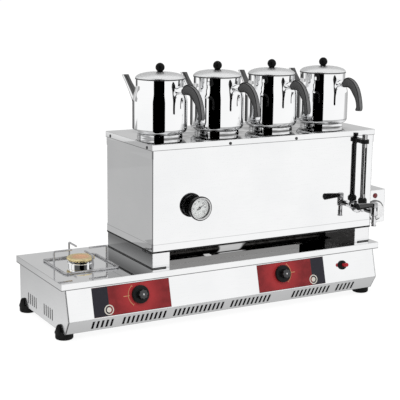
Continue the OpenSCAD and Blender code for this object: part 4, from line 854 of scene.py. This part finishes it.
lid_rim = [(60.6, -7), (62, -7), (62, 0), (66, 0), (66.3, 0.6), (66.3, 1.1)]
lid_data = data_of("lid", lathe(dome(60.6, 15.4, 0)[::-1] + lid_rim + dome(66, 16.8, 1.4)))
ball_data = data_of("lid_knob", lathe([(0, 0), (11, 0), (11, 1)] + arc(11, 5, 4, -90, -150, 6)
                                      + arc(0, 13.6, 12.2, -52, 90, 32), 64))
LID_GAP, BALL_Z = 0.3, 16.5
for n, (axis, turn) in enumerate(zip(POTS, POT_TURNS), 1):
    place = Matrix.Translation(axis) @ Matrix.Rotation(math.radians(turn), 4, "Z")
    lid_place = place @ Matrix.Translation((0, 0, (POT_H + LID_GAP) * MM))
    for name, data, look, body, where in (
            ("body", pot_data, pot_sheet, "pot", place), ("handle", grip_data, grip, "pot", place),
            ("lid", lid_data, lid_sheet, "lid", lid_place),
            ("lid_knob", ball_data, ball, "lid", lid_place @ Matrix.Translation((0, 0, BALL_Z * MM)))):
        piece(f"teapot_{n}_{name}", data, look, f"{body}_{n}", where, f"pot_{n}_{name}")

# Burner knobs: a round skirt and a lobed grip with a pale face
KNOB_LOBES = 8
# The lobed part, and the flutes: their radius and their middles' distance from the axis
LOBED_R, FLUTE_R, FLUTE_REACH = 12.5, 3.4, 14.0


def lobed(r, z, steps=192):
    """A ring whose edge is cut by round flutes."""
    points = []
    for i in range(steps):
        a = math.tau * i / steps
        off = ((a * KNOB_LOBES / math.tau) % 1 - 0.5) * math.tau / KNOB_LOBES
        under = FLUTE_R ** 2 - (FLUTE_REACH * math.sin(off)) ** 2
        cut = FLUTE_REACH * math.cos(off) - math.sqrt(under) if under > 0 else r
        cut = min(r, cut - (LOBED_R - r))
        points.append((cut * math.cos(a), cut * math.sin(a), z))
    return points


knob_skirt = [(23.2, 0), (23.5, 0.6)] + arc(21.5, 6, 2, 0, 90, 6) + [(14.2, 8.1)]
knob_rings = [circle(r, z, 192) for r, z in knob_skirt]
knob_rings += [lobed(r, z) for r, z in ((12.6, 8.4), (LOBED_R, 22), (12.1, 23), (11.2, 23.8), (10.2, 24))]
# Hollow under the skirt and round the spindle, for the travel when it is pressed
knob_data = cut_and_join("burner_knob", skin(bmesh.new(), knob_rings), (
    ("DIFFERENCE", lathe([(21.1, -1), (21.1, 5.6)])), ("DIFFERENCE", lathe([(4.3, -1), (4.3, 19.3)], 48))))
for name, x in zip(("left", "right"), KNOB_XS):
    place = on_band(x, KNOB_RISE, LABEL_T + KNOB_GAP)
    piece(f"{name}_knob_cap", knob_data, knob, f"{name}_knob", place, f"{name}_burner_knob", 30)

# The igniter's long button, and the tap's tapered grip
IGNITER_X = 845
TAP_X, TAP_Y, TAP_Z, TAP_GRIP_OUT = 914, -53, 276.8, 9.2
button_data = data_of("button", lathe([(4.9, -12), (4.9, 11.5), (5.6, 12.5), (5.6, 22.8), (5.1, 24.1),
                                       (3.9, 24.9), (0, 25)], 48))
piece("igniter_push_button", button_data, red, "igniter_push",
      on_band(IGNITER_X, KNOB_RISE), "igniter_button")
tap_grip_data = data_of("tap_handle", lathe([(5.2, 0), (6.2, 1)] + arc(7.5, 47, 2, 0, 90, 6)
                                            + [(6.6, 48.7), (0, 48.7)], 64))
tap_grip_place = Matrix.Translation(bench(TAP_X - TAP_GRIP_OUT, TAP_Y, TAP_Z))
piece("tap_handle", tap_grip_data, grip, "tap_lever",
      tap_grip_place @ Matrix.Rotation(math.radians(-90), 4, "Y"), "tap_grip")

# The rubber feet: a disc with a rounded horn that leans on the side panel
# How far the side panel lies outwards from the foot's axis
PANEL_OUT = 12.3


def foot(name, x, y, side):
    """A foot at a place on the bench, its horn on the left or right side (-1 or 1)."""
    def oval(z, a, b):
        """An oval of the horn, flattened where it meets the panel."""
        return [(side * max(PANEL_OUT + 0.91 * a - a * c, PANEL_OUT), b * s, z) for c, s in turns(48)]

    mesh = lathe([(19.5, 0), (21.4, 0.8), (22.7, 2.4), (23, 4.5), (23, 17.6), (22.5, 19.1), (21.2, 19.9),
                  (19.4, 20)])
    horn = ((14, 5.6, 18), (18, 5.5, 15.8), (20, 5.4, 14), (23, 5.3, 11.3), (26, 5.1, 9), (29, 4.9, 7.2),
            (32, 4.6, 5.6), (34.5, 4.2, 4.3), (36.8, 3.5, 3), (38.2, 2.6, 2), (38.9, 1.3, 1), (39, 0.3, 0.3))
    skin(mesh, [oval(*section) for section in horn])
    place = Matrix.Translation(bench(x, y, 0))
    return piece(name, data_of(name, mesh), rubber, "boiler", place, "corner_feet", 50)


for side, foot_x, side_name in ((-1, 21, "left"), (1, 946, "right")):
    for foot_y, row_name in ((37, "front"), (294, "back")):
        foot(f"foot_{row_name}_{side_name}", foot_x, foot_y, side)


# Studio

def emitter(name, level):
    """A stage material that shines one grey."""
    mat = bpy.data.materials.new(name)
    mat.use_nodes = True
    tree = mat.node_tree
    tree.nodes.clear()
    out = tree.nodes.new("ShaderNodeOutputMaterial")
    shine = tree.nodes.new("ShaderNodeEmission")
    shine.inputs["Color"].default_value = (level, level, level, 1)
    tree.links.new(shine.outputs[0], out.inputs["Surface"])
    return mat, tree, shine, out


def seen_by_eye_and_gloss(tree):
    """One for camera, glossy and transmission rays."""
    path = tree.nodes.new("ShaderNodeLightPath")
    total = path.outputs["Is Camera Ray"]
    for other in ("Is Glossy Ray", "Is Transmission Ray"):
        node = tree.nodes.new("ShaderNodeMath")
        node.operation = "MAXIMUM"
        tree.links.new(total, node.inputs[0])
        tree.links.new(path.outputs[other], node.inputs[1])
        total = node.outputs[0]
    return total


def make_floor():
    """White to the eye with a faint shadow; to gloss white in front and far left, greyer behind."""
    mat, tree, shine, out = emitter("floor_white", 1)
    place = tree.nodes.new("ShaderNodeTexCoord").outputs["Object"]
    split = tree.nodes.new("ShaderNodeSeparateXYZ")
    tree.links.new(place, split.inputs[0])
    depth = tree.nodes.new("ShaderNodeMapRange")
    tree.links.new(split.outputs["Y"], depth.inputs["Value"])
    depth.inputs["From Min"].default_value, depth.inputs["From Max"].default_value = -1.0, 1.0
    ramp = tree.nodes.new("ShaderNodeValToRGB")
    tree.links.new(depth.outputs["Result"], ramp.inputs["Fac"])
    # For gloss the floor is painted darker just in front of the base, a painted shadow of the base as its
    # lower band reflects it, and greyer behind
    stops = ((-0.45, 1.0), (-0.25, 0.86), (-0.2, 0.62), (-0.13, 0.5), (0.0, 0.74), (0.3, 0.62), (0.7, 0.5))
    while len(ramp.color_ramp.elements) < len(stops):
        ramp.color_ramp.elements.new(0.5)
    for element, (y, level) in zip(ramp.color_ramp.elements, stops):
        element.position, element.color = (y + 1) / 2, (level, level, level, 1)
    far_left = tree.nodes.new("ShaderNodeMapRange")
    tree.links.new(split.outputs["X"], far_left.inputs["Value"])
    far_left.inputs["From Min"].default_value, far_left.inputs["From Max"].default_value = -1.45, -1.75
    whiter = tree.nodes.new("ShaderNodeMix")
    whiter.data_type = "RGBA"
    tree.links.new(far_left.outputs["Result"], whiter.inputs["Factor"])
    tree.links.new(ramp.outputs["Color"], whiter.inputs["A"])
    whiter.inputs["B"].default_value = (1, 1, 1, 1)
    tree.links.new(whiter.outputs["Result"], shine.inputs["Color"])
    bright = tree.nodes.new("ShaderNodeEmission")
    bright.inputs["Strength"].default_value = 0.86
    pale = tree.nodes.new("ShaderNodeBsdfDiffuse")
    pale.inputs["Color"].default_value = (0.26, 0.26, 0.26, 1)
    both = tree.nodes.new("ShaderNodeAddShader")
    tree.links.new(bright.outputs[0], both.inputs[0])
    tree.links.new(pale.outputs[0], both.inputs[1])
    plain = tree.nodes.new("ShaderNodeBsdfDiffuse")
    plain.inputs["Color"].default_value = (0.8, 0.8, 0.8, 1)
    path = tree.nodes.new("ShaderNodeLightPath")
    last = plain.outputs[0]
    for kind, shader in (("Is Glossy Ray", shine), ("Is Transmission Ray", bright),
                         ("Is Camera Ray", both)):
        pick = tree.nodes.new("ShaderNodeMixShader")
        tree.links.new(path.outputs[kind], pick.inputs["Fac"])
        tree.links.new(last, pick.inputs[1])
        tree.links.new(shader.outputs[0], pick.inputs[2])
        last = pick.outputs[0]
    tree.links.new(last, out.inputs["Surface"])
    data = bpy.data.meshes.new("floor")
    r = 30
    data.from_pydata([(-r, -r, 0), (r, -r, 0), (r, r, 0), (-r, r, 0)], [], [(0, 1, 2, 3)])
    data.materials.append(mat)
    floor = add_object("floor", data)


def card(name, level, a, b, z0, z1):
    """An upright studio card between two places on the bench, seen by shiny surfaces alone."""
    corners = [bench(*a, z0), bench(*b, z0), bench(*b, z1), bench(*a, z1)]
    data = bpy.data.meshes.new(name)
    data.from_pydata([tuple(c) for c in corners], [], [(0, 1, 2, 3)])
    data.materials.append(emitter(name, level)[0])
    obj = add_object(name, data)
    obj.visible_camera = obj.visible_diffuse = obj.visible_transmission = obj.visible_shadow = False


make_floor()
# The black flag that the teapots show as a stripe
card("flag_high", 0.0, (-54, -128), (220, -1036), 0, 1500)
# The grey backs: where each step starts along X, and its grey
BACK_Y, LOW_TOP, MIDDLE_TOP, HIGH_TOP = 2200, 125, 450, 3000
LOW_STEPS = ((-1600, 0.48), (-300, 0.2), (0, 0.06), (2200, 0.25), (3200, 0.45), (5500, 0))
MIDDLE_STEPS = ((-550, 0.6), (-300, 0.3), (0, 0.06), (2200, 0.25), (3200, 0.45), (5500, 0))
HIGH_STEPS = ((-550, 0.8), (-250, 0.58), (5500, 0))
card("back_left", 0.4, (-1600, BACK_Y + 50), (-550, BACK_Y + 50), MIDDLE_TOP, 1000)
for name, back, low, high in (("low", LOW_STEPS, 0, LOW_TOP), ("middle", MIDDLE_STEPS, LOW_TOP, MIDDLE_TOP),
                              ("high", HIGH_STEPS, MIDDLE_TOP, HIGH_TOP)):
    for i, ((x, shade), (x_next, _)) in enumerate(zip(back, back[1:])):
        card(f"back_{name}_{i + 1}", shade, (x, BACK_Y), (x_next, BACK_Y), low, high)

world = bpy.data.worlds.new("world")
bpy.context.scene.world = world
world.use_nodes = True
sky = world.node_tree.nodes["Background"]
level = world.node_tree.nodes.new("ShaderNodeMapRange")
world.node_tree.links.new(seen_by_eye_and_gloss(world.node_tree), level.inputs["Value"])
level.inputs["To Min"].default_value = 0.72
level.inputs["To Max"].default_value = 1.0
world.node_tree.links.new(level.outputs["Result"], sky.inputs["Strength"])
sky.inputs["Color"].default_value = (1, 1, 1, 1)


def lamp(name, place, size, power):
    data = bpy.data.lights.new(name, "AREA")
    data.shape, data.size, data.energy = "DISK", size, power
    obj = add_object(name, data)
    obj.location = place
    obj.rotation_mode = "QUATERNION"
    obj.rotation_quaternion = (-Vector(place) + Vector((0, 0, 0.3))).to_track_quat("-Z", "Y")
    obj.visible_glossy = obj.visible_transmission = False


lamp("key", (-1.6, -2.2, 2.6), 1.8, 26)

bpy.context.scene.view_settings.view_transform = "Standard"
